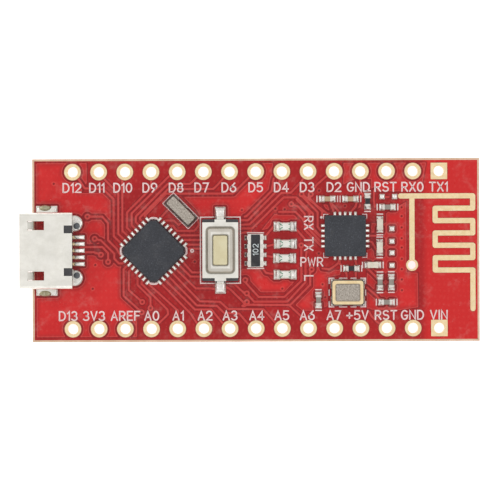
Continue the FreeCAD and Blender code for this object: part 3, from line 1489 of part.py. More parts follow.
# ---------------------------------------------------------------- build, check and export
def check_all():
    """Stops on any object that did not build, or any empty or broken shape."""
    bad = []
    for piece in doc.Objects:
        if "Invalid" in piece.State or "Error" in piece.State:
            bad.append(f"{piece.Label} ({piece.Name}): {piece.State}")
    for piece in nodes:
        shape = piece.Shape
        if shape.isNull() or not shape.isValid() or not shape.Solids:
            bad.append(f"{piece.Label}: null or broken shape")
    if bad:
        raise RuntimeError("; ".join(bad))


def export_all():
    """Writes each sub-part as one STEP file."""
    os.makedirs("parts", exist_ok=True)
    for piece in nodes:
        piece.Shape.exportStep(f"parts/{piece.Label}.step")
        print(f"{piece.Label}: {len(piece.Shape.Solids)} solids, {piece.Shape.Volume:.4f} mm3")


fill_sheet()
make_core()
make_header_pads()
make_antenna()
make_lands()
make_mask("solder_mask_top", bottom=False)
make_mask("solder_mask_bottom", bottom=True)
make_socket()
make_switch()
make_square_package("mcu")
make_square_package("radio")
make_crystal()
make_resonator()
make_leds()
make_array()
make_small_parts()
make_underside()
doc.recompute()
check_all()
export_all()
print(f"{len(nodes)} sub-parts")
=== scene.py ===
# %% [markdown]
# # A red microcontroller board with a printed antenna
# The engineering model already holds every part at its true size: the laminate, the plated
# holes, the chips, the USB socket and the push switch. This notebook adds what a flat solid
# can't show: lacquer that dips and rises over copper tracks, printed lettering, solder that
# climbs each terminal, and a worn-in finish for every material.

import json
import math

import bmesh
import bpy
import numpy as np
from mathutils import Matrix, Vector


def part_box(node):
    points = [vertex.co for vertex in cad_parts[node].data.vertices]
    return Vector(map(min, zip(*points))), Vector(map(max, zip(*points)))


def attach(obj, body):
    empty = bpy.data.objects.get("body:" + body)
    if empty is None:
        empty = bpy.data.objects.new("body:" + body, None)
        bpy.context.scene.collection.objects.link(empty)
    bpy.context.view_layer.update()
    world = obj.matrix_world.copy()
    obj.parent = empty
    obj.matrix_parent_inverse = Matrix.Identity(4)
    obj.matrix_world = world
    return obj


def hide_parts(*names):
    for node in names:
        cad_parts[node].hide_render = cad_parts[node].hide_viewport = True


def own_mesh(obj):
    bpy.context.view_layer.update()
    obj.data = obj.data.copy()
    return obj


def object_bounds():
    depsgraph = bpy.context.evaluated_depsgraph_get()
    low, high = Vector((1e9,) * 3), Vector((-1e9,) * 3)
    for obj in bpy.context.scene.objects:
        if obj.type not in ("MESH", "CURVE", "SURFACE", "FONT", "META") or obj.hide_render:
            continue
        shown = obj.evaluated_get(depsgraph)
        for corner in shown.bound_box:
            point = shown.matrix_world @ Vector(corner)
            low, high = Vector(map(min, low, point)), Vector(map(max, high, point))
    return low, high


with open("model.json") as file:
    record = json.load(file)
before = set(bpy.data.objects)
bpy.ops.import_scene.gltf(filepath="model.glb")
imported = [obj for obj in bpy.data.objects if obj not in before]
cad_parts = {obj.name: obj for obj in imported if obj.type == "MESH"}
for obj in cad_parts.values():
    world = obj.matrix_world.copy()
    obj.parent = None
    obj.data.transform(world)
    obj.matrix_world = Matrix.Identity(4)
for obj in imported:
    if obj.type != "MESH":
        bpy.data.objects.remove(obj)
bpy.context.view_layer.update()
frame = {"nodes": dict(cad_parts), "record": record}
nodes = frame["nodes"]
MM = 0.001

# %% [markdown]
# ## Where things are
# Everything below is placed from the model's own boxes, so if the board changes the details
# follow. A helper reads a node's box in millimetres, since a circuit board is drawn in
# millimetres and hundredths of them.

# %% Read the main places from the frame


def node_box(name):
    """Lowest and highest corner of a node, in millimetres."""
    low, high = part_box(name)
    return np.array(low) / MM, np.array(high) / MM


def loose_solids(name):
    """The separate solids of a node, each as its own array of corner points in millimetres.

    Corners are merged by place, then each one repeatedly takes the lowest label among its
    faces until nothing changes, so corners that share faces end with one label.
    """
    mesh = nodes[name].data
    points = np.empty(len(mesh.vertices) * 3, np.float32)
    mesh.vertices.foreach_get("co", points)
    points = points.reshape(-1, 3) / MM
    mesh.calc_loop_triangles()
    faces = np.empty(len(mesh.loop_triangles) * 3, np.int32)
    mesh.loop_triangles.foreach_get("vertices", faces)
    places, merged = np.unique(np.round(points, 3), axis=0, return_inverse=True)
    faces = merged.ravel()[faces].reshape(-1, 3)
    labels = np.arange(len(places))
    while True:
        lowest = labels[faces].min(1)
        fresh = labels.copy()
        np.minimum.at(fresh, faces.ravel(), np.repeat(lowest, 3))
        fresh = fresh[fresh]
        if (fresh == labels).all():
            break
        labels = fresh
    return [places[labels == k] for k in np.unique(labels)]


def footprint(points):
    """The rectangle a solid covers on the board, straight or turned by an eighth: whichever is
    smaller. Gives middle, half sizes, turn, corner radius, and its lowest and highest z."""
    best = None
    for turn in (0.0, math.pi / 4):
        c, s = math.cos(turn), math.sin(turn)
        u = points[:, 0] * c + points[:, 1] * s
        v = points[:, 1] * c - points[:, 0] * s
        half = np.array([np.ptp(u), np.ptp(v)]) / 2
        middle = np.array([(u.max() + u.min()) / 2, (v.max() + v.min()) / 2])
        if best is None or half.prod() < best["half"].prod() - 1e-4:
            best = {"middle": np.array([middle[0] * c - middle[1] * s, middle[0] * s + middle[1] * c]),
                    "half": half, "turn": turn, "low": points[:, 2].min(), "high": points[:, 2].max(),
                    "round": float(half.min()) if len(points) > 16 else 0.0}
    return best


core_low, core_high = node_box("pcb_core")
BOARD_TOP = core_high[2]
SEAT = node_box("smd_pads_top")[1][2]
digital_rings = [footprint(solid) for solid in loose_solids("header_pads_digital")]
analog_rings = [footprint(solid) for solid in loose_solids("header_pads_analog")]
holes = [ring["middle"] for ring in digital_rings + analog_rings]
RING_RADIUS = float(digital_rings[0]["half"][0])
ANTENNA_HOLE = sum(node_box("antenna_ground_via"))[:2] / 2
top_lands = [footprint(solid) for solid in loose_solids("smd_pads_top")]
bottom_lands = [footprint(solid) for solid in loose_solids("smd_pads_bottom")]
print(len(holes), "header holes; lands on top and underside:", len(top_lands), len(bottom_lands))

# %% [markdown]
# ## A small kit for surfaces
# Each new piece is a sheet of points worked out with numpy: rows and columns of a grid, joined
# into four-sided faces. One function turns such grids into a mesh. Another sweeps a profile
# along a path, which makes printed lines. Box modelling would do for one pad, but
# not for two hundred that all differ a little.

# %% Turn grids of points into one mesh


def grid_faces(rows, columns, close_columns=False, first=0):
    """Corner numbers of the faces of a grid: each face joins (i, j), (i, j+1), (i+1, j+1), (i+1, j)."""
    i, j = np.meshgrid(np.arange(rows - 1), np.arange(columns - (not close_columns)), indexing="ij")
    k = (j + 1) % columns
    quads = np.stack([i * columns + j, i * columns + k, (i + 1) * columns + k, (i + 1) * columns + j], -1)
    return quads.reshape(-1, 4) + first


def make_piece(name, points, faces, attributes=None):
    """A smooth mesh object from points in millimetres and four-sided faces, riding on the board."""
    mesh = bpy.data.meshes.new(name)
    points = np.asarray(points, float).reshape(-1, 3) * MM
    faces = np.asarray(faces, np.int32).reshape(-1, 4)
    mesh.vertices.add(len(points))
    mesh.vertices.foreach_set("co", points.astype(np.float32).ravel())
    mesh.loops.add(faces.size)
    mesh.loops.foreach_set("vertex_index", faces.ravel())
    mesh.polygons.add(len(faces))
    mesh.polygons.foreach_set("loop_start", np.arange(0, faces.size, 4, dtype=np.int32))
    mesh.polygons.foreach_set("use_smooth", np.full(len(faces), True))
    for label, values in (attributes or {}).items():
        layer = mesh.attributes.new(label, "FLOAT", "POINT")
        layer.data.foreach_set("value", np.asarray(values, np.float32).ravel())
    mesh.update(calc_edges=True)
    mesh.validate()
    piece = bpy.data.objects.new(name, mesh)
    bpy.context.scene.collection.objects.link(piece)
    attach(piece, "board")
    return piece


def join_grids(grids, close_columns=False):
    """Points and faces of many grids of the same or different sizes, as one mesh."""
    points, faces, first = [], [], 0
    for grid in grids:
        rows, columns = grid.shape[:2]
        points.append(grid.reshape(-1, 3))
        faces.append(grid_faces(rows, columns, close_columns, first))
        first += rows * columns
    return np.concatenate(points), np.concatenate(faces)


# %% Sweep a profile along a path


def along_path(path, profile):
    """Carries a profile along a flat path and closes it with rounded ends.

    path is a list of (x, y); profile a closed ring of (across, up). At each corner the section
    stands on the bisector and is widened by one over the cosine of half the turn. The ends
    shrink to a point over three extra sections that follow a quarter circle.
    """
    path = np.asarray(path, float)
    profile = np.asarray(profile, float)
    steps = np.diff(path, axis=0)
    steps /= np.maximum(np.linalg.norm(steps, axis=1, keepdims=True), 1e-9)
    before = np.vstack([steps[:1], steps])
    after = np.vstack([steps, steps[-1:]])
    mid = before + after
    mid /= np.maximum(np.linalg.norm(mid, axis=1, keepdims=True), 1e-9)
    side = np.stack([-mid[:, 1], mid[:, 0]], 1)
    widen = 1 / np.maximum((mid * after).sum(1), 0.5)
    angles = np.radians([90, 60, 30])
    out = np.sin(angles) * np.abs(profile[:, 0]).max()
    shrink, low = np.maximum(np.cos(angles), 0.02), np.array([0.3, 0.8, 0.95])
    scale = np.concatenate([shrink, np.ones(len(path)), shrink[::-1]])
    rise = np.concatenate([low, np.ones(len(path)), low[::-1]])
    path = np.vstack([path[0] - steps[0] * out[:, None], path, (path[-1] + steps[-1] * out[:, None])[::-1]])
    side = np.vstack([np.repeat(side[:1], 3, 0), side, np.repeat(side[-1:], 3, 0)])
    widen = np.concatenate([np.ones(3), widen, np.ones(3)])
    across = profile[None, :, 0] * (scale * widen)[:, None]
    up = profile[None, :, 1] * rise[:, None]
    return np.dstack([path[:, None, 0] + side[:, None, 0] * across,
                      path[:, None, 1] + side[:, None, 1] * across, up])


def close_ends(grid):
    """Adds a section at each end with all its points at the section's middle."""
    first = np.repeat(grid[:1].mean(1, keepdims=True), grid.shape[1], 1)
    last = np.repeat(grid[-1:].mean(1, keepdims=True), grid.shape[1], 1)
    return np.concatenate([first, grid, last])


def face_outward(piece):
    """Merges doubled points and turns every face outward."""
    work = bmesh.new()
    work.from_mesh(piece.data)
    bmesh.ops.remove_doubles(work, verts=work.verts, dist=1e-7)
    bmesh.ops.recalc_face_normals(work, faces=work.faces)
    work.to_mesh(piece.data)
    work.free()
    return piece

# %% [markdown]
# ## Camera, floor and light
# The board lies flat and is looked at from straight above, as on a light table. A long lens
# keeps the sides from showing, and a turn of a fifth of a degree makes it sit as a thing laid
# down by hand does. The floor is a big pale sheet. The light is three large soft panels and
# a pale sky, since a lacquered board shows every hard lamp as a glare spot.

# %% Place the camera and the stage
bpy.context.scene.view_settings.view_transform = "Standard"
camera_data = bpy.data.cameras.new("camera")
camera = bpy.data.objects.new("camera", camera_data)
bpy.context.scene.collection.objects.link(camera)
bpy.context.scene.camera = camera
VIEW_MM = 48.53
AIM_MM = (-0.5765, 0.0097)
DISTANCE_MM = 420.0
camera_data.sensor_width = 36.0
camera_data.lens = 36.0 * DISTANCE_MM / VIEW_MM
camera_data.clip_start, camera_data.clip_end = 0.01, 5.0
camera.location = (AIM_MM[0] * MM, AIM_MM[1] * MM, (BOARD_TOP + DISTANCE_MM) * MM)
camera.rotation_euler = (0, 0, math.radians(-0.2))

FLOOR_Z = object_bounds()[0][2] - 0.00002
floor_mesh = bpy.data.meshes.new("floor")
reach = 0.6
floor_mesh.from_pydata([(-reach, -reach, FLOOR_Z), (reach, -reach, FLOOR_Z), (reach, reach, FLOOR_Z),
                        (-reach, reach, FLOOR_Z)], [], [(0, 1, 2, 3)])
floor = bpy.data.objects.new("floor", floor_mesh)
bpy.context.scene.collection.objects.link(floor)
paper = bpy.data.materials.new("lit_paper")
paper.use_nodes = True
paper_shader = paper.node_tree.nodes["Principled BSDF"]
paper_shader.inputs["Base Color"].default_value = (0.9, 0.9, 0.895, 1)
paper_shader.inputs["Roughness"].default_value = 0.9
paper_shader.inputs["Emission Color"].default_value = (1, 1, 0.995, 1)
paper_shader.inputs["Emission Strength"].default_value = 0.8
floor_mesh.materials.append(paper)


def panel(name, place_mm, size_mm, power):
    """A soft rectangular light at a place in millimetres, turned toward the board."""
    data = bpy.data.lights.new(name, "AREA")
    data.shape = "RECTANGLE"
    data.size, data.size_y = size_mm[0] * MM, size_mm[1] * MM
    data.energy = power
    lamp = bpy.data.objects.new(name, data)
    lamp.location = Vector(place_mm) * MM
    lamp.rotation_euler = (-Vector(place_mm)).to_track_quat("-Z", "Y").to_euler()
    bpy.context.scene.collection.objects.link(lamp)


panel("panel_left", (-190, 60, 230), (160, 200), 0.11)
panel("panel_right", (190, 40, 230), (140, 200), 0.075)
panel("panel_front", (10, -230, 190), (260, 90), 0.055)
world = bpy.data.worlds.new("sky")
bpy.context.scene.world = world
world.use_nodes = True
world.node_tree.nodes["Background"].inputs["Color"].default_value = (1.0, 0.99, 0.98, 1)
world.node_tree.nodes["Background"].inputs["Strength"].default_value = 0.86
print("camera", [round(c / MM, 2) for c in camera.location], "mm; floor at", round(FLOOR_Z / MM, 3))

# %% [markdown]
# ## A bench of material helpers
# Every finish here is drawn by nodes: noise for grain, thin stretched noise for scratches, a
# normal that rounds the edges. Wiring those by hand takes many lines, so a few helpers write
# one node each and hand back its socket. The shared effects are node groups, built once.

# %% Helpers that add one node


def add(tree, kind, inputs=None, **settings):
    """Adds a node, sets its fields, and fills or links its inputs by name or number."""
    made = tree.nodes.new(kind)
    for key, value in settings.items():
        setattr(made, key, value)
    for key, value in (inputs or {}).items():
        socket = made.inputs[key]
        if isinstance(value, bpy.types.NodeSocket):
            tree.links.new(value, socket)
        elif socket.type == "RGBA" and len(value) == 3:
            socket.default_value = (*value, 1)
        else:
            socket.default_value = value
    return made


def maths(tree, operation, a, b=0.0):
    """One arithmetic node."""
    return add(tree, "ShaderNodeMath", {0: a, 1: b}, operation=operation).outputs[0]


def times(tree, a, b):
    """A product."""
    return maths(tree, "MULTIPLY", a, b)


def ease(tree, value, low, high, out_low=0.0, out_high=1.0):
    """A soft step: out_low below low, out_high above high, a smooth curve between."""
    return add(tree, "ShaderNodeMapRange", {"Value": value, "From Min": low, "From Max": high,
               "To Min": out_low, "To Max": out_high}, interpolation_type="SMOOTHSTEP").outputs["Result"]


def blend(tree, share, a, b):
    """Mixes two colours."""
    made = add(tree, "ShaderNodeMix", data_type="RGBA")
    for socket, value in ((made.inputs[0], share), (made.inputs[6], a), (made.inputs[7], b)):
        if isinstance(value, bpy.types.NodeSocket):
            tree.links.new(value, socket)
        elif socket.type == "RGBA":
            socket.default_value = (*value[:3], 1)
        else:
            socket.default_value = value
    return made.outputs[2]


def noise(tree, vector, scale, detail=3.0, rough=0.55):
    """Noise with so many waves to the millimetre."""
    return add(tree, "ShaderNodeTexNoise", {"Vector": vector, "Scale": scale, "Detail": detail,
               "Roughness": rough}).outputs["Fac"]


def srgb(red, green, blue):
    """A colour as seen on a screen, 0 to 255, turned into the light values the shader needs."""
    seen = np.array([red, green, blue], float) / 255
    return tuple(np.where(seen <= 0.04045, seen / 12.92, ((seen + 0.055) / 1.055) ** 2.4))


def new_group(name, inputs, outputs):
    """An empty node group. inputs and outputs are lists of (name, kind, start value)."""
    tree = bpy.data.node_groups.new(name, "ShaderNodeTree")
    for label, kind, start in inputs:
        socket = tree.interface.new_socket(label, in_out="INPUT", socket_type=kind)
        if start is not None:
            socket.default_value = start
    for label, kind in outputs:
        tree.interface.new_socket(label, in_out="OUTPUT", socket_type=kind)
    return tree, tree.nodes.new("NodeGroupInput").outputs, tree.nodes.new("NodeGroupOutput").inputs


def use(tree, group, **inputs):
    """Places a group in a material with its own values; spaces in socket names become _."""
    made = add(tree, "ShaderNodeGroup", node_tree=group)
    for key, value in inputs.items():
        socket = made.inputs[key.replace("_", " ")]
        if isinstance(value, bpy.types.NodeSocket):
            tree.links.new(value, socket)
        else:
            socket.default_value = value
    return made.outputs


def object_place(tree):
    """The Object coordinates in millimetres."""
    metres = tree.nodes.new("ShaderNodeTexCoord").outputs["Object"]
    return add(tree, "ShaderNodeVectorMath", {0: metres, "Scale": 1000.0}, operation="SCALE").outputs[0]


def new_material(name, **shader_values):
    """A material with its node tree, its shader, and the Object coordinates in millimetres."""
    material = bpy.data.materials.new(name)
    material.use_nodes = True
    tree = material.node_tree
    shader = tree.nodes["Principled BSDF"]
    for key, value in shader_values.items():
        socket = shader.inputs[key.replace("_", " ")]
        socket.default_value = (*value, 1) if socket.type == "RGBA" else value
    return material, tree, shader, object_place(tree)


def dress(tree, shader, colour, rough, height, strength, depth, normal=None):
    """Feeds a colour, a roughness and a bump into the shader. depth is in metres; normal is
    the rounded normal the bump starts from."""
    inputs = {"Height": height, "Strength": strength, "Distance": depth}
    if normal is not None:
        inputs["Normal"] = normal
    bump = add(tree, "ShaderNodeBump", inputs)
    tree.links.new(colour, shader.inputs["Base Color"])
    tree.links.new(rough, shader.inputs["Roughness"])
    tree.links.new(bump.outputs[0], shader.inputs["Normal"])


# %% [markdown]
# ## Effects that many finishes share
# Grain is the fine bumpiness of moulded or cast stuff. The edge mask picks out edges that
# fingers and pick-up nozzles touch; metals paint them lighter as wear and as a painted highlight.
# Scratches are noise pulled out long and cut to thin lines. Dust settles only on what faces
# up. Each is a mask from 0 to 1, so a material decides what it does with it.

# %% Build the shared groups
grain_group, come, go = new_group("grain", [("Place", "NodeSocketVector", None),
    ("Size", "NodeSocketFloat", 20.0), ("Spots", "NodeSocketFloat", 0.5)],
    [("Fine", "NodeSocketFloat"), ("Broad", "NodeSocketFloat"), ("Specks", "NodeSocketFloat")])
t = grain_group
fine = noise(t, come["Place"], come["Size"], 2.0, 0.7)
broad = noise(t, come["Place"], times(t, come["Size"], 0.06), 3.0, 0.5)
cells = add(t, "ShaderNodeTexVoronoi", {"Vector": come["Place"],
            "Scale": times(t, come["Size"], 0.55)}).outputs
lit = add(t, "ShaderNodeSeparateColor", {0: cells["Color"]}).outputs[0]
near = ease(t, cells["Distance"], 0.30, 0.12)
chosen = ease(t, lit, maths(t, "SUBTRACT", 1.0, come["Spots"]), 1.0)
t.links.new(fine, go["Fine"])
t.links.new(broad, go["Broad"])
t.links.new(times(t, near, chosen), go["Specks"])

# edge mask: rubbed edges, used on metal both as wear and as a painted highlight
edge_wear_and_sheen_group, come, go = new_group("edge_wear_and_sheen", [("Place", "NodeSocketVector", None),
    ("Reach", "NodeSocketFloat", 0.03)], [("Edge", "NodeSocketFloat"), ("Normal", "NodeSocketVector")])
t = edge_wear_and_sheen_group
bevel = add(t, "ShaderNodeBevel", {"Radius": times(t, come["Reach"], MM)}, samples=6).outputs[0]
true = t.nodes.new("ShaderNodeNewGeometry").outputs["Normal"]
turned = add(t, "ShaderNodeVectorMath", {0: bevel, 1: true}, operation="DOT_PRODUCT").outputs["Value"]
broken = noise(t, come["Place"], 9.0, 4.0, 0.7)
edge = ease(t, turned, 0.99, 0.86)
t.links.new(times(t, edge, ease(t, broken, 0.30, 0.62)), go["Edge"])
t.links.new(bevel, go["Normal"])

scratch_group, come, go = new_group("scratches", [("Place", "NodeSocketVector", None),
    ("Density", "NodeSocketFloat", 1.0)], [("Lines", "NodeSocketFloat")])
t = scratch_group
masks = []
for turn, stretch in ((0.35, 14.0), (-0.9, 11.0), (1.45, 17.0)):
    spun = add(t, "ShaderNodeMapping", {"Vector": come["Place"], "Rotation": (0, 0, turn),
               "Scale": (0.45, stretch, 1.0)}).outputs[0]
    lines = noise(t, spun, 1.0, 1.0, 0.5)
    masks.append(ease(t, maths(t, "ABSOLUTE", maths(t, "SUBTRACT", lines, 0.5)), 0.006, 0.0))
both = maths(t, "MAXIMUM", maths(t, "MAXIMUM", masks[0], masks[1]), masks[2])
patches = ease(t, noise(t, come["Place"], 1.4, 2.0), 0.42, 0.66)
t.links.new(times(t, times(t, both, patches), come["Density"]), go["Lines"])

dust_group, come, go = new_group("dust", [("Place", "NodeSocketVector", None),
    ("Amount", "NodeSocketFloat", 0.3)], [("Dust", "NodeSocketFloat")])
t = dust_group
up = add(t, "ShaderNodeSeparateXYZ", {0: t.nodes.new("ShaderNodeNewGeometry").outputs["Normal"]}).outputs[2]
specks = add(t, "ShaderNodeTexVoronoi", {"Vector": come["Place"], "Scale": 2.6}).outputs
speck = ease(t, specks["Distance"], 0.085, 0.03)
rare = ease(t, add(t, "ShaderNodeSeparateColor", {0: specks["Color"]}).outputs[1], 0.72, 0.9)
haze = ease(t, noise(t, come["Place"], 0.9, 4.0, 0.65), 0.5, 0.8, 0.0, 0.25)
sum_ = maths(t, "MAXIMUM", times(t, speck, rare), haze)
t.links.new(times(t, times(t, sum_, ease(t, up, 0.3, 0.8)), come["Amount"]), go["Dust"])
print("shared effects:", [g.name for g in (grain_group, edge_wear_and_sheen_group, scratch_group, dust_group)])

# %% [markdown]
# ## The copper under the lacquer
# What one sees of a red board is copper seen through lacquer: wide poured areas, thin tracks
# and plated holes. The routes are listed corner by corner as a layout person would draw them,
# in millimetres from the middle of the header grid. They become a distance field: for any
# point of the board, how far it lies inside or outside the nearest copper. That one number
# shapes the lacquer's surface and colours it, so tracks stay crisp however close one looks.

# %% Routes, poured areas and plated holes on the top face


def read_routes(text):
    """Named routes from lines such as "name: x y, x y, x y". A line that starts with a space
    goes on with the route before it."""
    rows = (row.split(":") for row in text.replace("\n ", " ").strip().splitlines())
    return {name: [tuple(map(float, corner.split())) for corner in corners.split(",")]
            for name, corners in rows}


TRACKS = read_routes("""
d12: -17.85 7.6, -17.2 6.95, -16.6 6.05, -14.8 5.95, -13.8 5, -13.8 1.4, -13.05 0.65
d11: -15.35 7.6, -13.35 5.55, -13.35 1.6, -12.7 1
d10: -12.75 7.6, -12.95 6.85, -12.95 1.9, -12.35 1.35
d9: -12 1.7, -12.5 2.2, -12.5 3.7, -10.15 6.05, -10.15 7.6
d8: -11.65 2.05, -12.05 2.45, -12.05 3.6, -8.4 7.2, -7.7 7.6
d7: -11.3 2.4, -11.65 2.75, -11.65 3.3, -8.55 6.45, -6.35 6.45, -5.75 7.05, -5.15 7.6
d6: -10.95 2.75, -11.25 3.05, -11.25 3.2, -8.5 5.95, -4.1 5.95, -3.5 6.55, -2.65 7.6
d5: -10.6 3.1, -10.8 3.35, -8.7 5.5, -2.2 5.5, -0.75 6.95, -0.05 7.6
clock_in: -9.3 3.1, -8.5 3.95, -7.95 4.5
clock_mid: -8.95 2.75, -8.75 2.9, -7.95 2.9, -7.5 2.45, -6.85 3.05, -6.85 3.95
clock_out: -8.6 2.4, -8.05 2.4, -7.65 1.9, -5.95 1.9, -5.5 2.45, -5.75 3.15
usb_power: -16.35 3.3, -14.9 3.3, -14.35 2.65, -14.35 1, -13.5 0.15, -13.05 -0.65
usb_id: -15.65 1.15, -15.05 1, -13.75 -0.3, -13.75 -0.8, -13.3 -1.25, -12.95 -1.25, -12.7 -1
usb_minus: -17.05 0.35, -14.9 0.35, -14.35 -0.25, -14.35 -1.1
usb_plus: -17.05 -0.15, -15.75 -0.15, -15.05 -0.4
core_a: -12.35 -1.35, -12.85 -1.8, -12.85 -4.4, -11.1 -6
core_b: -12 -1.7, -12.35 -2.05, -12.35 -3.85, -11.05 -5
core_c: -11.65 -2.05, -11.5 -2.6, -11.5 -3.35, -10.25 -4.6, -10.25 -5.6
a0: -10.95 -2.75, -11.1 -3.05, -11.1 -3.25, -8.6 -5.75, -8.55 -6.2, -9 -6.65, -10.1 -7.65
a1: -10.6 -3.1, -7.6 -5.85, -7.6 -7.65
a2: -9.3 -3.1, -6.35 -6.15, -5.75 -7.1, -5.05 -7.65
a3: -8.95 -2.75, -5.95 -5.75, -4.35 -5.75, -3.25 -7.1, -2.5 -7.65
a4: -8.6 -2.4, -5.75 -5.35, -3.8 -5.4, -3.1 -6.1, -1.65 -6.15, -0.8 -7.15, 0.05 -7.65
a5: -8.25 -2.05, -5.45 -4.95, -3.5 -5, -2.75 -5.7, 0.7 -5.75, 1.8 -7, 2.6 -7.65
reset_a: -7.9 -1.7, -5.85 -3.7, -4.4 -3.7, -3.55 -3.85
bus_a: -7.55 -1.35, -6.35 -2.55, -5.3 -2.55, -2.1 -3.3, -0.9 -4.4
bus_b: -7.2 -1, -6.2 -2.15, -5.3 -2.15, -4.05 -2.9, -2.5 -3.8, -1 -5.3, 3.2 -5.35, 4.6 -6.65, 5.15 -7.65
bus_c: -7.55 1.35, -7.35 1.45, -5.3 1.45, -1.45 2.1, -0.35 2.1, 2.7 5.1, 3.95 5.1, 5.55 3.5, 5.55 2.1,
  6.25 1.35
bus_d: -7.2 1, -7 1, -5.3 1, -1.45 2.45, -0.6 2.5, 2.5 5.55, 3.4 5.55, 4.4 6.6, 5.05 7.6
bus_e: -6.85 0.65, -6.5 0.55, -5.3 0.55, -1.45 2.9, -0.75 2.9, 2.1 5.8, 2.5 7.6
bus_f: -6.5 0.15, -5.3 0.15, -1.45 1.65, -0.45 1.8
bus_g: -1.1 3.25, -0.9 3.3, 1.55 5.75, 1.75 6.95
fan_a: 4.35 5.35, 6 3.65, 6 2.25, 6.3 1.85
fan_b: 3.95 4.9, 5.2 3.65, 5.2 2.35, 6.3 1.25
fan_c: 3.45 4.45, 4.05 4.25, 4.75 3.5, 4.75 1.95, 6.3 0.4
fan_d: 4.5 5.4, 6.95 3.5, 7.1 3.5
fan_e: 5.15 5.2, 5.4 4.8, 6.45 3.7, 6.4 3.15
fan_f: 2.25 3.7, 3.85 3.7, 4.5 3.05, 5.05 2.1, 6.3 0.8
ring_a: -1.2 -2.95, 0.25 -4.55, 2.75 -4.55, 4.4 -3, 4.4 0.4
ring_b: -0.9 -4.2, -0.2 -5, 3.05 -5, 4.8 -3.15, 4.8 -1.35, 4.9 -0.2
ring_c: 3.35 -5.3, 5.25 -3.4, 5.25 -2.25, 5.4 -1.8
led_d: -0.9 -5.05, -1.05 -5.4, -1.35 -5.4
array_led_a: 0.6 1.1, 1.05 1.5, 1.7 2.25
array_led_b: 0.6 0.25, 1.8 0.55
array_led_c: 0.6 -0.5, 1.8 -0.7
array_led_d: 0.55 -1.6, 0.95 -2.2, 1.7 -2.35
led_to_rx: 3.85 2.1, 4.5 1.35, 4.9 0.9
d2: 7.6 7.6, 6.75 7.05, 5.9 6.3, 5.35 5.5
gnd_res: 10.1 7.6, 10.2 5.3
match_a: 10.85 0.9, 11.3 0.7, 11.65 0.05, 12.05 -0.2
match_b: 10.85 1.35, 12.05 1.35
match_c: 10.9 -1.9, 11.65 -2.65, 12.05 -2.65
match_d: 10.75 -3.65, 11.7 -4.5, 12.05 -4.95
match_e: 12.25 5.1, 12.9 5.1
match_f: 12.05 3.9, 12.05 4.15, 12.35 4.15
match_g: 11.5 5.75, 11.45 4.8, 11.55 4.15
rst: 12.7 -7.65, 11.7 -7, 11.2 -6.45, 10.95 -6
xtal_a: 8.6 -1.8, 8.8 -2.45, 8.8 -2.9
xtal_b: 9.65 -1.9, 9.7 -2.9
xtal_c: 8.15 -1.15, 7.6 -1.6, 7.1 -1.9, 6.45 -1.8
radio_a: 8.05 -0.85, 8.05 -1.25, 8.35 -1.6
radio_b: 9.6 -0.85, 9.8 -1.7
cap_a: 7.6 3.6, 7.3 4.35, 7.1 4.9
cap_b: 8.15 3.6, 7.6 4.25, 7.4 4.45
cap_c: 9.15 3.6, 9.65 4.15, 9.9 4.9
""")

POURS = read_routes("""
left: -21.3 8.5, -16.4 8.5, -16.4 6.1, -17.15 5.6, -14.7 5.6, -13.95 4.9, -13.95 3.05, -13.95 0.9,
  -13.15 -0.2, -12.95 -1.7, -12.95 -4.4, -11.55 -5.8, -11.55 -8.4, -21.3 -8.4
upper: -7.15 5.3, -2.1 5.3, -0.5 6.75, 0.45 8.45, 1.7 8.45, 1.65 5.95, -1 3.35, -2.5 3.05, -5.3 3.05,
  -5.75 3.9
led_corner: 0.5 1.9, 1.8 3.5, 3.75 3.55, 4.1 3.05, 3.85 2.8, 1.6 2.8, 1.3 2.1
array: -1.45 -1.8, 0.5 -1.8, 1.45 -2.9, 3.9 -2.9, 2.75 -4.1, 0.45 -4.1, -1 -2.55, -1.45 -2.45
crystal: 5.55 -1.6, 8.25 -2, 8.15 -2.45, 6.95 -2.65, 6.95 -5.45, 6 -5.9, 4.5 -5.9, 3.8 -5.35, 5.55 -3.6
gap_a: 6.45 4.45, 7.3 4.35, 7.6 3.7, 7.1 3.55
gap_b: 9.25 4.25, 10.2 4.45, 10.2 4.15, 9.8 3.9, 9.25 3.95
top_right: 8.5 8.45, 16.55 8.45, 16.05 5.65, 11.2 5.65, 11.2 6.85, 9.15 6.7, 8.5 6.3
rf: 12.65 3.55, 14.6 4.65, 14.6 -1.25, 14.65 -2.2, 15.7 -2.25, 15.75 -5.6, 13.7 -5.9, 10.75 -5.8,
  10.75 2.6, 12.65 2.6
""")

VIAS = [(-16.35, 3.3), (-15.65, 1.15), (-15.05, -0.4), (-14.35, -1.1), (-15.6, -1.4), (-15.85, -3.7),
        (-19.6, 6.5), (-11.05, -5.0), (-11.1, -6.0), (-10.25, -5.6), (-5.95, -1.1), (-0.9, -4.2),
        (-0.9, -5.05), (-1.05, -2.9), (-1.35, 3.9), (3.45, 4.45), (1.9, 4.0), (2.8, 3.95), (4.4,
        0.45), (4.45, 5.4), (5.35, 5.4), (6.15, 5.75), (8.65, 4.25), (10.2, 5.3), (6.1, -0.35),
        (6.45, -3.35), (2.55, -3.75), (6.7, -4.6), (5.4, -1.9), (14.15, 4.1), (14.15, 3.25),
        (14.15, 2.15), (14.15, 1.1), (14.15, 0.2), (14.15, -0.9), (14.15, -1.9), (14.15, -2.9),
        (14.15, -3.95)]
TRACK_WIDTH = 0.2
CLEARANCE = 0.2
KEEP_OUT = 16.3
print(len(TRACKS), "tracks,", len(POURS), "poured areas,", len(VIAS), "small plated holes")

# %% Distance fields of tracks, polygons, boxes and dots


def to_segments(points, start, end):
    """Distance from each point to the straight piece from start to end: the nearest place is
    the foot of the perpendicular, kept between the two ends."""
    start, end = np.asarray(start, float), np.asarray(end, float)
    run = end - start
    share = np.clip(((points - start) @ run) / max(run @ run, 1e-12), 0, 1)
    return np.linalg.norm(points - start - share[..., None] * run, axis=-1)


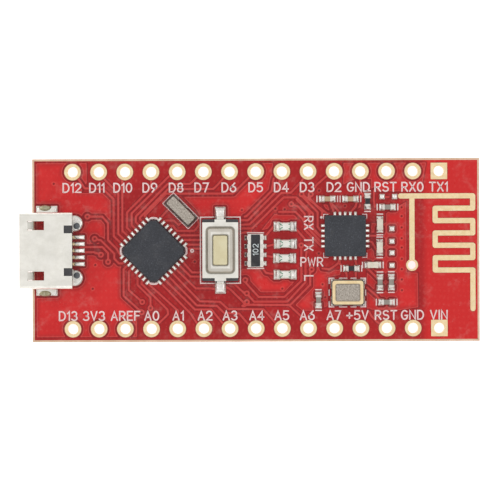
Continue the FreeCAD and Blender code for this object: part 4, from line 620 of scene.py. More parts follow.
def in_tracks(points, tracks, half_width):
    """Half the track's width minus the distance to its centre line; the largest of all tracks."""
    best = np.full(points.shape[:-1], -9.0)
    for track in tracks:
        for start, end in zip(track[:-1], track[1:]):
            best = np.maximum(best, half_width - to_segments(points, start, end))
    return best


def in_polygon(points, corners):
    """Distance to the outline, positive inside. A point is inside if a ray to its right
    crosses the outline an odd number of times."""
    inside = np.zeros(points.shape[:-1], bool)
    nearest = np.full(points.shape[:-1], 99.0)
    x, y = points[..., 0], points[..., 1]
    for (ax, ay), (bx, by) in zip(corners, corners[1:] + corners[:1]):
        nearest = np.minimum(nearest, to_segments(points, (ax, ay), (bx, by)))
        if ay != by:
            crosses = ((ay > y) != (by > y)) & (x < (bx - ax) * (y - ay) / (by - ay) + ax)
            inside ^= crosses
    return np.where(inside, nearest, -nearest)


def in_rectangles(points, prints, grow=0.0, corner=0.05):
    """Distance to the nearest side of the nearest footprint, positive inside: each rectangle is
    made larger by grow and its corners are rounded. Points are turned into its own axes first."""
    best = np.full(points.shape[:-1], -9.0)
    for mark in prints:
        c, s = math.cos(mark["turn"]), math.sin(mark["turn"])
        away = points - mark["middle"]
        local = np.abs(np.stack([away[..., 0] * c + away[..., 1] * s,
                                 away[..., 1] * c - away[..., 0] * s], -1))
        rounding = min(max(corner, mark["round"]) + grow, float(mark["half"].min()) + grow)
        past = local - (mark["half"] + grow - rounding)
        outside = np.linalg.norm(np.maximum(past, 0), axis=-1)
        best = np.maximum(best, rounding - outside - np.minimum(past.max(-1), 0))
    return best


def in_dots(points, centres, radius):
    """Radius minus the distance to the nearest centre."""
    best = np.full(points.shape[:-1], -9.0)
    for centre in centres:
        best = np.maximum(best, radius - np.linalg.norm(points - np.asarray(centre)[:2], axis=-1))
    return best


# %% [markdown]
# ## Lacquer as a height field
# The lacquer is poured on, so it follows what is under it: it stands a few hundredths of a
# millimetre higher over copper, slopes off at each edge, dips over plated holes and stops
# short of each land. A bump map could fake this, but a real surface catches light at grazing
# angles. A grid every tenth of a millimetre is fine enough.

# %% Build a lacquer sheet
FILM, THINNEST, COPPER_LIFT, HOLE_DIP = 0.012, 0.003, 0.018, 0.010
LAND_MARGIN, JOINED_RADIUS = 0.06, 0.29
RING_BORE, ANTENNA_BORE = 0.66, 0.48


def lacquer_sheet(name, face, tracks, pours, vias, lands, step, slot_from):
    """A height field over one face of the board.

    height = 0.012 mm + 0.018 mm x (soft step of the copper distance across its edge)
    - 0.010 mm x exp(-(distance to the nearest plated hole / 0.10 mm) squared); in an opening
    it falls to 0.003 mm, and at the rim of the board to nothing.
    face is 1 for the top, -1 for the underside. Returns the piece.
    """
    low, high = node_box(slot_from)
    columns = int(round((high[0] - low[0]) / step)) + 1
    rows = int(round((high[1] - low[1]) / step)) + 1
    x, y = np.meshgrid(np.linspace(low[0], high[0], columns), np.linspace(low[1], high[1], rows))
    flat = np.stack([x, y], -1)
    ends = [track[k] for track in tracks for k in (0, -1)]
    joined = [via for via in vias if min(math.dist(via, end) for end in ends) < 0.2]
    signals = np.maximum.reduce([in_tracks(flat, tracks, TRACK_WIDTH / 2),
                                 in_dots(flat, holes, RING_RADIUS),
                                 in_rectangles(flat, lands, 0.02), in_dots(flat, joined, JOINED_RADIUS)])
    poured = np.maximum.reduce([in_polygon(flat, outline) for outline in pours])
    copper = np.maximum(signals, np.minimum(poured, -signals - CLEARANCE))
    opening = np.maximum(in_rectangles(flat, lands, LAND_MARGIN),
                         in_dots(flat, holes, RING_RADIUS + LAND_MARGIN))
    if face > 0:
        opening = np.maximum(opening, in_rectangles(flat, antenna_bars(), 0.05, 0.25))
    hole = in_dots(flat, vias, 0.0)
    over = np.clip((copper + 0.09) / 0.14, 0, 1)
    over = over * over * (3 - 2 * over)
    shut = 1 - np.clip((opening + 0.03) / 0.06, 0, 1)
    height = THINNEST + shut * (FILM - THINNEST + COPPER_LIFT * over - HOLE_DIP * np.exp(-(hole / 0.10) ** 2))
    rim = np.minimum(np.minimum(x - low[0], high[0] - x), np.minimum(y - low[1], high[1] - y))
    height *= np.clip(rim / 0.02, 0, 1)
    base = BOARD_TOP if face > 0 else core_low[2]
    points = np.dstack([x, y, base + face * height])
    faces = grid_faces(rows, columns)
    middle = flat.reshape(-1, 2)[faces].mean(1)
    gone = np.maximum(in_dots(middle, holes, RING_BORE), in_dots(middle, [ANTENNA_HOLE], ANTENNA_BORE)) > 0
    piece = make_piece(name, points, faces[~gone][:, ::face],
                       {"copper": copper, "opening": opening, "hole": hole, "clear": x - KEEP_OUT})
    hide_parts(slot_from)
    print(name, len(faces) - gone.sum(), "faces;", round(float((copper > 0).mean()), 2), "copper")
    return piece


def antenna_bars():
    """The antenna strip as straight bars, read from its mesh's box: a feed bar, a grounding
    stub down to the hole, and a meander of seven rungs that ends in a tail."""
    low, high = node_box("antenna_strip")
    half, top = 0.25, high[1] - 0.25
    right, left, step = high[0] - 0.25, high[0] - 3.9, 1.2
    runs = [((low[0] + half, top), (right, top)), ((ANTENNA_HOLE[0], top), tuple(ANTENNA_HOLE))]
    for level in range(6):
        y, side = top - step * level, (right if level % 2 == 0 else left)
        runs += [((side, y), (side, y - step)), ((left, y - step), (right, y - step))]
    runs.append(((right, top - 6 * step), (right, low[1] + half)))
    bars = [{"middle": (np.array(a) + b) / 2, "half": np.abs(np.array(b) - a) / 2 + half, "turn": 0.0,
             "round": 0.0} for a, b in runs]
    return bars + [{"middle": ANTENNA_HOLE, "half": np.array([0.575, 0.575]), "turn": 0.0, "round": 0.575}]


lacquer_top = lacquer_sheet("lacquer_top", 1, TRACKS.values(), POURS.values(), VIAS, top_lands, 0.1,
                            "solder_mask_top")

# %% [markdown]
# ## The underside
# The underside carries the power parts. Its copper is mostly one ground area, with short
# tracks from each lead to the nearest header hole. The tracks come from a rule instead of a
# list: up from a land, then over at an eighth turn, then up into the hole.

# %% Route and lacquer the underside
FAR_END = 7.6


def climb(start, hole_x, bend, side):
    """From a land straight out to a bend, then diagonally until level with the hole, then in."""
    x, y = start
    over = abs(hole_x - x)
    return [(x, side * y), (x, side * bend), (hole_x, side * (bend + over)), (hole_x, side * FAR_END)]


BELOW = []
for side in (1, -1):
    BELOW += [climb((x, y), hole_x, bend, side) for x, y, hole_x, bend in (
        (1.5, 3.2, 2.54, 6.0), (5.3, 3.2, 5.08, 6.3), (-1.2, 5.0, -2.54, 5.7), (.4, 5.0, 0, 6.3),
        (4.2, 5.0, 5.08, 5.8), (6.4, 5.0, 7.62, 5.8), (8.0, 5.0, 10.16, 5.3), (-4.6, 4.2, -5.08, 6.0),
        (-7.4, 4.2, -7.62, 6.0))]
    BELOW += [[(lead, side * 3.2), (land, side * 4.2)] for lead, land in (
        (-1.04, -1.2), (.22, .4), (2.76, 2.6), (4.03, 4.2), (6.57, 6.4), (7.85, 8.0))]
    BELOW.append([(-6, side * 1.9), (-6, side * 2.6), (-6.9, side * 3.5)])
BELOW += [climb((x, 3.7), hole_x, 6.2, 1) for x, hole_x in ((-14.9, -15.24), (-12.6, -12.7), (-10.3, -10.16))]
for number in range(4):
    x, y = number * .35, 0.75 - number * 0.45
    BELOW.append([(x - 9.0, y + 1.2), (x - 7.8, y), (-3.6, y), (-2.9, y + .35), (-1.7, y + .35)])
BELOW += read_routes("""
supply_a: 11.05 3.9, 11.2 4.8
supply_b: 12.95 3.9, 12.8 4.8
supply_c: 12 1.3, 11.2 .4
supply_d: 11.2 -.5, 11.2 -4.2, 10.16 -5.4, 10.16 -7.6
""").values()
GROUND = [[(-21.4, 8.5), (KEEP_OUT - .4, 8.5), (KEEP_OUT - .4, -8.5), (-21.4, -8.5)]]
lacquer_under = lacquer_sheet("lacquer_under", -1, BELOW, GROUND, VIAS, bottom_lands, 0.13,
                              "solder_mask_bottom")

# %% [markdown]
# ## Finishes
# The record names one slot for each material of the board. Each gets a finish made for what
# it is: lacquer is a clear red coat over copper or over glass-fibre board, tin is soft and
# cloudy, gold is smoother and warm, moulded chips are full of quartz grit. The colours were
# chosen under the studio light above.

# %% Red lacquer over copper and laminate


def lacquer_finish():
    """Colour follows the copper distance: bright over copper, deep over bare laminate, pale
    on a copper edge where the lacquer thins, with a painted highlight there too, and dark in a
    painted shadow beside it. Past the keep-out line the bare red is painted brighter as painted
    light, and the middle of each small plated hole gets a painted shade."""
    material, tree, shader, mm = new_material("red_lacquer", Roughness=0.34, Coat_Weight=0.14,
                                              Coat_Roughness=0.12, Specular_IOR_Level=0.25)
    field = {label: add(tree, "ShaderNodeAttribute", attribute_name=label).outputs["Fac"]
             for label in ("copper", "opening", "hole", "clear")}
    wobble = times(tree, maths(tree, "SUBTRACT", noise(tree, mm, 7.0, 2.0), 0.5), 0.03)
    copper = maths(tree, "ADD", field["copper"], wobble)
    broad = noise(tree, mm, 0.22, 3.0)
    deep = blend(tree, ease(tree, broad, 0.35, 0.65), srgb(156, 10, 16), srgb(170, 16, 22))
    bright = blend(tree, ease(tree, noise(tree, mm, 0.35, 4.0), 0.35, 0.65),
                   srgb(196, 26, 28), srgb(208, 36, 36))
    bright = blend(tree, ease(tree, copper, 0.45, 0.08), bright, srgb(180, 30, 32))
    # painted light: past the copper keep-out line the bare red turns brighter, for the lighter far end of the
    # board
    clear = ease(tree, field["clear"], -0.4, 0.5)
    deep = blend(tree, times(tree, clear, 0.85), deep, srgb(206, 30, 30))
    over = ease(tree, copper, -0.015, 0.02)
    colour = blend(tree, over, deep, bright)
    # pale band just inside each copper edge: the lacquer thins there, and a painted highlight along the
    # raised edge
    edge = times(tree, ease(tree, copper, 0.0, 0.03), ease(tree, copper, 0.11, 0.05))
    colour = blend(tree, times(tree, edge, 0.34), colour, srgb(218, 100, 94))
    # painted shadow just outside each copper edge
    shade = times(tree, ease(tree, copper, -0.13, -0.06), ease(tree, copper, 0.0, -0.03))
    colour = blend(tree, times(tree, shade, 0.62), colour, srgb(104, 12, 20))
    # painted shade: a dark spot in the middle of each small plated hole stands in for its dark bore
    painted_bore_shade = ease(tree, field["hole"], -0.13, -0.07)
    ring = times(tree, ease(tree, field["hole"], -0.27, -0.2), ease(tree, field["hole"], -0.1, -0.15))
    colour = blend(tree, times(tree, ring, 0.2), colour, srgb(222, 110, 100))
    colour = blend(tree, times(tree, painted_bore_shade, 0.8), colour, srgb(70, 22, 24))
    bare = ease(tree, field["opening"], -0.01, 0.02)
    colour = blend(tree, bare, colour, srgb(160, 62, 50))
    weave = use(tree, weave_group, Place=mm)
    colour = blend(tree, times(tree, weave["Threads"], 0.10), colour, srgb(232, 92, 84))
    grain = use(tree, grain_group, Place=mm, Size=16.0, Spots=0.1)
    dust = use(tree, dust_group, Place=mm, Amount=0.5)["Dust"]
    colour = blend(tree, times(tree, grain["Specks"], 0.16), colour, srgb(236, 120, 110))
    colour = blend(tree, dust, colour, srgb(222, 196, 186))
    scratches = use(tree, scratch_group, Place=mm, Density=0.5)["Lines"]
    rough = maths(tree, "ADD", ease(tree, noise(tree, mm, 1.1, 3.0), 0.3, 0.7, 0.26, 0.4),
                  times(tree, maths(tree, "ADD", scratches, dust), 0.3))
    height = maths(tree, "ADD", times(tree, grain["Fine"], 0.3), times(tree, weave["Threads"], 0.5))
    dress(tree, shader, colour, rough, height, 0.35, 0.000012)
    return material


weave_group, come, go = new_group("glass_weave", [("Place", "NodeSocketVector", None)],
                                  [("Threads", "NodeSocketFloat")])
t = weave_group
THREADS = (2.1, 1.6)
bands = []
for axis, count in enumerate(THREADS):
    part = add(t, "ShaderNodeSeparateXYZ", {0: come["Place"]}).outputs[axis]
    wander = times(t, noise(t, come["Place"], 0.5, 2.0), 0.8)
    wave = maths(t, "SINE", times(t, maths(t, "ADD", part, wander), count * 2 * math.pi))
    bands.append(ease(t, wave, -0.2, 1.0))
t.links.new(times(t, bands[0], bands[1]), go["Threads"])


print("woven threads to the millimetre, along and across:", THREADS)

# %% [markdown]
# Tin, steel, nickel and gold are thin plating here, never polished like a mirror. Two tones
# in clouds give the matt look, the edges are painted brighter, as wear and as a painted
# highlight, and fine scratches and a little dust lie on top. One function with a few numbers
# does all of them.

# %% Metals: tin, steel, nickel and gold


def metal_finish(name, colour, second, edge_tone, roughness, cloud=6.0, lines=0.5, dusty=0.15, depth=0.000006):
    """A plated metal: a cloudy mix of two tones, brighter edges from wear and a painted highlight, fine
    scratches, dust.
    """
    material, tree, shader, mm = new_material(name, Metallic=1.0)
    clouds = ease(tree, noise(tree, mm, cloud, 4.0, 0.6), 0.3, 0.7)
    tone = blend(tree, clouds, colour, second)
    edge_wear_and_sheen_mask = use(tree, edge_wear_and_sheen_group, Place=mm, Reach=0.03)
    scratches = use(tree, scratch_group, Place=mm, Density=lines)["Lines"]
    dust = use(tree, dust_group, Place=mm, Amount=dusty)["Dust"]
    # brighter edges: wear, and a painted highlight where an edge catches the light
    tone = blend(tree, times(tree, edge_wear_and_sheen_mask["Edge"], 0.7), tone, edge_tone)
    tone = blend(tree, times(tree, scratches, 0.35), tone, srgb(120, 112, 104))
    tone = blend(tree, dust, tone, srgb(205, 196, 186))
    rough = ease(tree, noise(tree, mm, cloud * 0.7, 3.0), 0.3, 0.7, roughness * 0.8, roughness * 1.25)
    rough = maths(tree, "ADD", rough, times(tree, maths(tree, "ADD", scratches, dust), 0.25))
    grain = use(tree, grain_group, Place=mm, Size=30.0, Spots=0.3)
    height = maths(tree, "SUBTRACT", grain["Fine"], times(tree, scratches, 0.8))
    dress(tree, shader, tone, rough, height, 0.5, depth, edge_wear_and_sheen_mask["Normal"])
    return material


# %% [markdown]
# Stamped covers and lids have grooves, slopes and rims where shade falls. A rounded
# rectangle's inside distance says how deep inside a point lies, and a band between two
# distances is painted darker as painted shade. Modelling each groove would add little at this size.

# %% A mask for frames, grooves and rims
frame_group, come, go = new_group("rounded_frame", [("Place", "NodeSocketVector", None),
    ("Half", "NodeSocketVector", (1, 1, 0)), ("Corner", "NodeSocketFloat", 0.2)],
    [("Inside", "NodeSocketFloat")])
t = frame_group
away = add(t, "ShaderNodeVectorMath", {0: come["Place"]}, operation="ABSOLUTE").outputs[0]
away = add(t, "ShaderNodeVectorMath", {0: away, 1: come["Half"]}, operation="SUBTRACT").outputs[0]
both = add(t, "ShaderNodeSeparateXYZ", {0: away}).outputs
dx, dy = (maths(t, "ADD", both[k], come["Corner"]) for k in (0, 1))
outer = add(t, "ShaderNodeCombineXYZ", {0: maths(t, "MAXIMUM", dx, 0.0),
            1: maths(t, "MAXIMUM", dy, 0.0)}).outputs[0]
outer = add(t, "ShaderNodeVectorMath", {0: outer}, operation="LENGTH").outputs["Value"]
inner = maths(t, "MINIMUM", maths(t, "MAXIMUM", dx, dy), 0.0)
t.links.new(maths(t, "SUBTRACT", maths(t, "SUBTRACT", come["Corner"], outer), inner), go["Inside"])


def paint_shade_band(material, middle, half, corner, low, high, colour, share, soft=0.05, turn=0.0):
    """Darkens or lightens a band round a rounded rectangle: where its inside distance lies
    between low and high. This is painted shade in grooves, on slopes and along rims."""
    tree = material.node_tree
    shader = tree.nodes["Principled BSDF"]
    mm = object_place(tree)
    local = add(tree, "ShaderNodeVectorMath", {0: mm, 1: (*middle, 0)}, operation="SUBTRACT").outputs[0]
    local = add(tree, "ShaderNodeMapping", {"Vector": local, "Rotation": (0, 0, -turn)}).outputs[0]
    inside = use(tree, frame_group, Place=local, Half=(*half, 0), Corner=corner)["Inside"]
    wobble = times(tree, maths(tree, "SUBTRACT", noise(tree, mm, 5.0), 0.5), 0.06)
    inside = maths(tree, "ADD", inside, wobble)
    band = times(tree, ease(tree, inside, low - soft, low + soft),
                 ease(tree, inside, high + soft, high - soft))
    before = shader.inputs["Base Color"].links[0].from_socket
    tree.links.new(blend(tree, times(tree, band, share), before, colour), shader.inputs["Base Color"])


# %% [markdown]
# Chip packages are resin full of quartz grit, and the small parts are fired ceramic. Both are
# dull, a little uneven in tone, specked, and paler along their edges.

# %% Moulded and fired bodies


def moulded_finish(name, colour, second, specks, roughness, size=24.0, spots=0.5, edge_tone=None,
                   worn_share=0.4, dusty=0.35):
    """Filled resin or fired ceramic: broad change of tone, fine grain, grit, paler edges."""
    material, tree, shader, mm = new_material(name, Specular_IOR_Level=0.35)
    grain = use(tree, grain_group, Place=mm, Size=size, Spots=spots)
    tone = blend(tree, ease(tree, grain["Broad"], 0.35, 0.65), colour, second)
    tone = blend(tree, times(tree, ease(tree, grain["Fine"], 0.45, 0.75), 0.28), tone, specks)
    tone = blend(tree, times(tree, grain["Specks"], 0.5), tone, specks)
    edge_wear_and_sheen_mask = use(tree, edge_wear_and_sheen_group, Place=mm, Reach=0.05)
    scratches = use(tree, scratch_group, Place=mm, Density=0.2)["Lines"]
    dust = use(tree, dust_group, Place=mm, Amount=dusty)["Dust"]
    tone = blend(tree, times(tree, edge_wear_and_sheen_mask["Edge"], worn_share), tone, edge_tone or specks)
    tone = blend(tree, times(tree, scratches, 0.35), tone, specks)
    tone = blend(tree, dust, tone, srgb(196, 188, 180))
    rough = ease(tree, grain["Fine"], 0.3, 0.7, roughness * 0.9, roughness * 1.15)
    height = maths(tree, "ADD", grain["Fine"], times(tree, grain["Specks"], 0.6))
    dress(tree, shader, tone, rough, height, 0.6, 0.000012, edge_wear_and_sheen_mask["Normal"])
    return material


# %% [markdown]
# The board itself is glass cloth in resin. Its threads show faintly through the faces, and on
# the sawn edge the cloth lies in layers, so a fine stripe runs round the board there.

# %% Laminate with its glass threads


def laminate_finish():
    """Pale resin with a woven glass cloth inside: threads on the faces, layers on the sawn edge."""
    material = moulded_finish("laminate", srgb(204, 172, 144), srgb(216, 186, 160), srgb(232, 210, 188), 0.6,
                              size=18.0, spots=0.3, worn_share=0.5)
    tree = material.node_tree
    shader, mm = tree.nodes["Principled BSDF"], object_place(tree)
    base = shader.inputs["Base Color"].links[0].from_socket
    parts = add(tree, "ShaderNodeSeparateXYZ", {0: mm}).outputs
    layers = maths(tree, "SINE", maths(tree, "ADD", times(tree, parts[2], 2 * math.pi / 0.2),
                   times(tree, noise(tree, mm, 1.6, 2.0), 2.5)))
    side = maths(tree, "SUBTRACT", 1.0, maths(tree, "ABSOLUTE", add(tree, "ShaderNodeSeparateXYZ",
                 {0: tree.nodes.new("ShaderNodeNewGeometry").outputs["Normal"]}).outputs[2]))
    striped = times(tree, ease(tree, layers, -0.3, 0.9), side)
    tone = blend(tree, times(tree, striped, 0.45), base, srgb(172, 136, 104))
    threads = use(tree, weave_group, Place=mm)["Threads"]
    tone = blend(tree, times(tree, threads, 0.25), tone, srgb(240, 218, 200))
    tree.links.new(tone, shader.inputs["Base Color"])
    return material


# %% [markdown]
# The lights have a drop of clear resin on top, and the timing crystal is a clear slip. Neither
# is quite clear: slow clouds make them milky and a fine waviness breaks up the shine.

# %% Clear and half-clear pieces


def clear_finish(name, colour, roughness, transmission, density_tone):
    """Cast clear resin: mostly see-through, slightly milky, with fine surface waviness."""
    material, tree, shader, mm = new_material(name, Transmission_Weight=transmission, IOR=1.5)
    milk = blend(tree, ease(tree, noise(tree, mm, 3.0, 3.0), 0.35, 0.65), colour, density_tone)
    edge_wear_and_sheen_mask = use(tree, edge_wear_and_sheen_group, Place=mm, Reach=0.06)
    rough = ease(tree, noise(tree, mm, 8.0, 2.0), 0.3, 0.7, roughness * 0.7, roughness * 1.4)
    dress(tree, shader, milk, rough, noise(tree, mm, 10.0, 2.0), 0.3, 0.00001, edge_wear_and_sheen_mask["Normal"])
    return material


# %% [markdown]
# Each finish is a row of numbers: three tones as they look on a screen, the roughness, and
# what differs from the usual. The tones of a metal are its two cloud tones and its edge tone,
# lighter for wear and a painted highlight. Those of a moulded body are its two broad tones and its grit.

# %% Make every finish once, by slot
METALS = {
    "flux_solder": ((150, 144, 112), (186, 182, 160), (226, 222, 206), 0.34, dict(cloud=4.0, lines=0.2)),
    "solder": ((226, 222, 216), (244, 242, 238), (250, 250, 248), 0.30,
               dict(cloud=9.0, lines=0.1, dusty=0.1)),
    "gold_plating": ((246, 226, 184), (240, 212, 164), (252, 238, 208), 0.36, dict(cloud=3.0)),
    "tinned_land": ((214, 208, 200), (232, 228, 222), (246, 244, 240), 0.36, dict(cloud=8.0, lines=0.3)),
    "tinned_steel": ((229, 227, 219), (240, 238, 231), (250, 249, 246), 0.36,
                     dict(cloud=1.1, lines=0.35, dusty=0.12)),
    "nickel_lid": ((140, 132, 122), (196, 188, 178), (216, 210, 200), 0.42,
                   dict(cloud=8.0, lines=0.3, depth=0.00002)),
    "spring_steel": ((176, 176, 178), (206, 206, 208), (206, 206, 208), 0.25, {}),
}
MOULDED = {
    "white_ink": ((232, 200, 198), (240, 214, 212), (248, 230, 228), 0.5,
                  dict(size=18.0, spots=0.2, worn_share=0.2)),
    "value_ink": ((214, 226, 228), (224, 234, 236), (244, 248, 250), 0.5,
                  dict(size=18.0, spots=0.2, worn_share=0.1)),
    "green_mark": ((84, 128, 104), (104, 146, 122), (150, 180, 160), 0.4, {}),
    "peg_finish": ((92, 96, 100), (108, 112, 116), (150, 154, 158), 0.35, {}),
    "black_nylon": ((56, 56, 58), (66, 66, 68), (104, 104, 108), 0.5, {}),
    "button_resin": ((206, 196, 158), (214, 206, 170), (232, 226, 198), 0.45, dict(spots=0.2, size=16.0)),
    "mould_compound": ((46, 48, 54), (52, 54, 60), (104, 108, 116), 0.6,
                       dict(edge_tone=srgb(104, 106, 112), size=9.0, dusty=0.15)),
    "silicon": ((52, 58, 66), (64, 60, 70), (120, 128, 140), 0.2, {}),
    "alumina": ((226, 222, 214), (236, 232, 226), (248, 246, 242), 0.6, {}),
    "crystal_tray": ((66, 62, 60), (84, 78, 74), (120, 112, 104), 0.5, {}),
    "led_board": ((232, 228, 212), (240, 236, 222), (246, 240, 224), 0.5, {}),
    "tan_ceramic": ((170, 142, 112), (184, 156, 126), (212, 188, 160), 0.45, dict(spots=0.35)),
    "grey_ceramic": ((132, 124, 116), (146, 138, 130), (180, 172, 164), 0.5, {}),
    "pale_ceramic": ((206, 198, 182), (222, 214, 200), (240, 236, 226), 0.4, {}),
    "black_film": ((36, 36, 40), (44, 44, 48), (90, 90, 96), 0.35, dict(spots=0.25)),
    "orange_mould": ((206, 128, 44), (216, 140, 56), (238, 178, 104), 0.5, {}),
}
finishes = {
    "solder_mask": lacquer_finish(),
    "laminate": laminate_finish(),
    "quartz": clear_finish("quartz", srgb(238, 240, 244), 0.08, 0.9, srgb(220, 226, 234)),
    "clear_epoxy": clear_finish("clear_epoxy", srgb(252, 252, 246), 0.16, 0.2, srgb(244, 244, 234)),
}
for make, table in ((metal_finish, METALS), (moulded_finish, MOULDED)):
    for name, (*tones, roughness, extra) in table.items():
        finishes[name] = make(name, *(srgb(*tone) for tone in tones), roughness, **extra)
slots = {entry["slot"] for entry in frame["record"]["materials"]}
print("finishes:", len(finishes), "; slots without one:", slots - set(finishes))


# %% [markdown]
# ## Printed lettering
# The pin names and outlines are ink, screen-printed on the lacquer about two hundredths of a
# millimetre thick. A font file would bring someone's typeface, so the letters are drawn as
# strokes, the way drawing programs for boards do: each is a few lines and arcs on a unit
# height. A rounded ribbon swept along each stroke gives the soft raised edge of real ink.

# %% Stroke letters


def bow(cx, cy, rx, ry, start, end):
    """Points on an ellipse from one angle to another, in degrees, every twenty or so."""
    angles = np.radians(np.linspace(start, end, max(3, int(abs(end - start) / 22) + 1)))
    return [(cx + rx * math.cos(a), cy + ry * math.sin(a)) for a in angles]


LETTERS = {
    "0": [bow(.31, .5, .31, .5, 90, 450)],
    "1": [[(0, .78), (.2, 1), (.2, 0)]],
    "2": [bow(.3, .7, .3, .3, 165, -28) + [(0, 0), (.62, 0)]],
    "3": [bow(.28, .745, .27, .255, 150, -80), bow(.28, .255, .32, .255, 80, -150)],
    "4": [[(.46, 0), (.46, 1), (0, .3), (.64, .3)]],
    "5": [[(.56, 1), (.07, 1), (.03, .56)] + bow(.28, .32, .32, .32, 115, -145)],
    "6": [[(.5, 1), (.12, .55)] + bow(.31, .31, .31, .31, 150, 510)],
    "7": [[(0, 1), (.58, 1), (.2, 0)]],
    "8": [bow(.3, .755, .25, .245, -90, 270), bow(.3, .255, .3, .255, 90, 450)],
    "9": [[(.1, 0), (.48, .45)] + bow(.31, .69, .31, .31, -30, 330)],
    "A": [[(0, 0), (.34, 1), (.68, 0)], [(.13, .33), (.55, .33)]],
    "D": [[(0, 0), (0, 1), (.26, 1)] + bow(.26, .5, .4, .5, 72, -72) + [(.26, 0), (0, 0)]],
    "E": [[(.56, 1), (0, 1), (0, 0), (.56, 0)], [(0, .52), (.48, .52)]],
    "F": [[(0, 0), (0, 1), (.56, 1)], [(0, .52), (.48, .52)]],
    "G": [bow(.36, .5, .36, .5, 48, 318) + [(.68, .44), (.4, .44)]],
    "I": [[(.05, 0), (.05, 1)]],
    "L": [[(0, 1), (0, 0), (.54, 0)]],
    "N": [[(0, 0), (0, 1), (.62, 0), (.62, 1)]],
    "P": [[(0, 0), (0, 1), (.3, 1)] + bow(.3, .73, .3, .27, 70, -70) + [(.3, .46), (0, .46)]],
    "R": [[(0, 0), (0, 1), (.3, 1)] + bow(.3, .73, .3, .27, 70, -70) + [(.3, .46), (0, .46)],
          [(.3, .46), (.62, 0)]],
    "S": [bow(.31, .745, .29, .255, 35, 255) + bow(.31, .255, .31, .255, 80, -150)],
    "T": [[(0, 1), (.64, 1)], [(.32, 1), (.32, 0)]],
    "V": [[(0, 1), (.33, 0), (.66, 1)]],
    "W": [[(0, 1), (.2, 0), (.42, .82), (.64, 0), (.84, 1)]],
    "X": [[(0, 0), (.62, 1)], [(0, 1), (.62, 0)]],
    "+": [[(0, .45), (.62, .45)], [(.31, .14), (.31, .76)]],
}


def letter_paths(word, middle, height, turn=0.0, gap=0.28, mirror=1):
    """Strokes of a word centred on a place: letters stand side by side, gap apart, then the
    whole is scaled to the height, turned by an angle in degrees, and moved."""
    paths, reach = [], 0.0
    for letter in word:
        strokes = [np.array(stroke, float) for stroke in LETTERS[letter]]
        paths += [stroke + (reach, 0) for stroke in strokes]
        reach += max(stroke[:, 0].max() for stroke in strokes) + gap
    c, s = math.cos(math.radians(turn)), math.sin(math.radians(turn))
    laid = []
    for path in paths:
        local = (path - ((reach - gap) / 2, 0.5)) * height * (mirror, 1)
        turned = np.stack([local[:, 0] * c - local[:, 1] * s, local[:, 0] * s + local[:, 1] * c], 1)
        laid.append(turned + middle)
    return laid


def ink_profile(width):
    """A flat ribbon with rounded shoulders, 0.02 mm thick over the lacquer."""
    half = width / 2
    right = [(half * .62, .021), (half * .93, .014), (half, 0)]
    return [(-across, up) for across, up in reversed(right)] + right


INK_SEAT = 0.026


def print_ink(name, strokes, face=1, base=None):
    """One mesh of ribbons from a list of (path, width)."""
    level = base if base is not None else (BOARD_TOP + INK_SEAT if face > 0 else core_low[2] - INK_SEAT)
    grids = []
    for path, width in strokes:
        ribbon = close_ends(along_path(path, ink_profile(width)))
        ribbon[..., 2] = level + face * ribbon[..., 2]
        grids.append(ribbon)
    points, faces = join_grids(grids, close_columns=True)
    return face_outward(make_piece(name, points, faces))


# %% [markdown]
# Each header hole has its name beside it. On such a board a word is nudged a little off its
# hole to clear its neighbours, and the shifts below say by how much in millimetres.

# %% Where the words and marks go
digital_names = "D12 D11 D10 D9 D8 D7 D6 D5 D4 D3 D2 GND RST RX0 TX1".split()
analog_names = "D13 3V3 AREF A0 A1 A2 A3 A4 A5 A6 A7 +5V RST GND VIN".split()
DIGITAL_SHIFT = [-.05, -.18, -.2, -.11, -.1, -.17, -.06, 0, -.05, -.09, -.02, -.2, -.1, -.03, -.05]
ANALOG_SHIFT = [-.46, -.5, .02, .03, .05, .13, .01, .06, -.05, -.12, -.08, -.34, -.1, -.07, -.05]
LETTER, STROKE = 0.84, 0.155
strokes = []
digital_x = sorted(ring["middle"][0] for ring in digital_rings)
analog_x = sorted(ring["middle"][0] for ring in analog_rings)
for names, places, shifts, y in ((digital_names, digital_x, DIGITAL_SHIFT, 6.09),
                                 (analog_names, analog_x, ANALOG_SHIFT, -6.34)):
    for word, x, shift in zip(names, places, shifts):
        strokes += [(path, STROKE) for path in letter_paths(word, (x + shift, y), LETTER)]
for word, place, turn in (("RX", (5.13, 2.62), -90), ("TX", (5.13, .58), -90),
                          ("L", (5.13, -2.73), -90), ("PWR", (5.42, -1.16), 0)):
    strokes += [(path, STROKE * .94) for path in letter_paths(word, place, LETTER * .96, turn)]
print(len(strokes), "letter strokes")

# %% [markdown]
# Printed outlines tell whoever solders the board where each part goes. They are worked out
# from the parts' own boxes, so an outline follows its part.

# %% Outlines, corner marks and end bars round the parts


def closed(x0, x1, y0, y1):
    """The four sides of a rectangle as one path."""
    return [(x0, y0), (x1, y0), (x1, y1), (x0, y1), (x0, y0)]


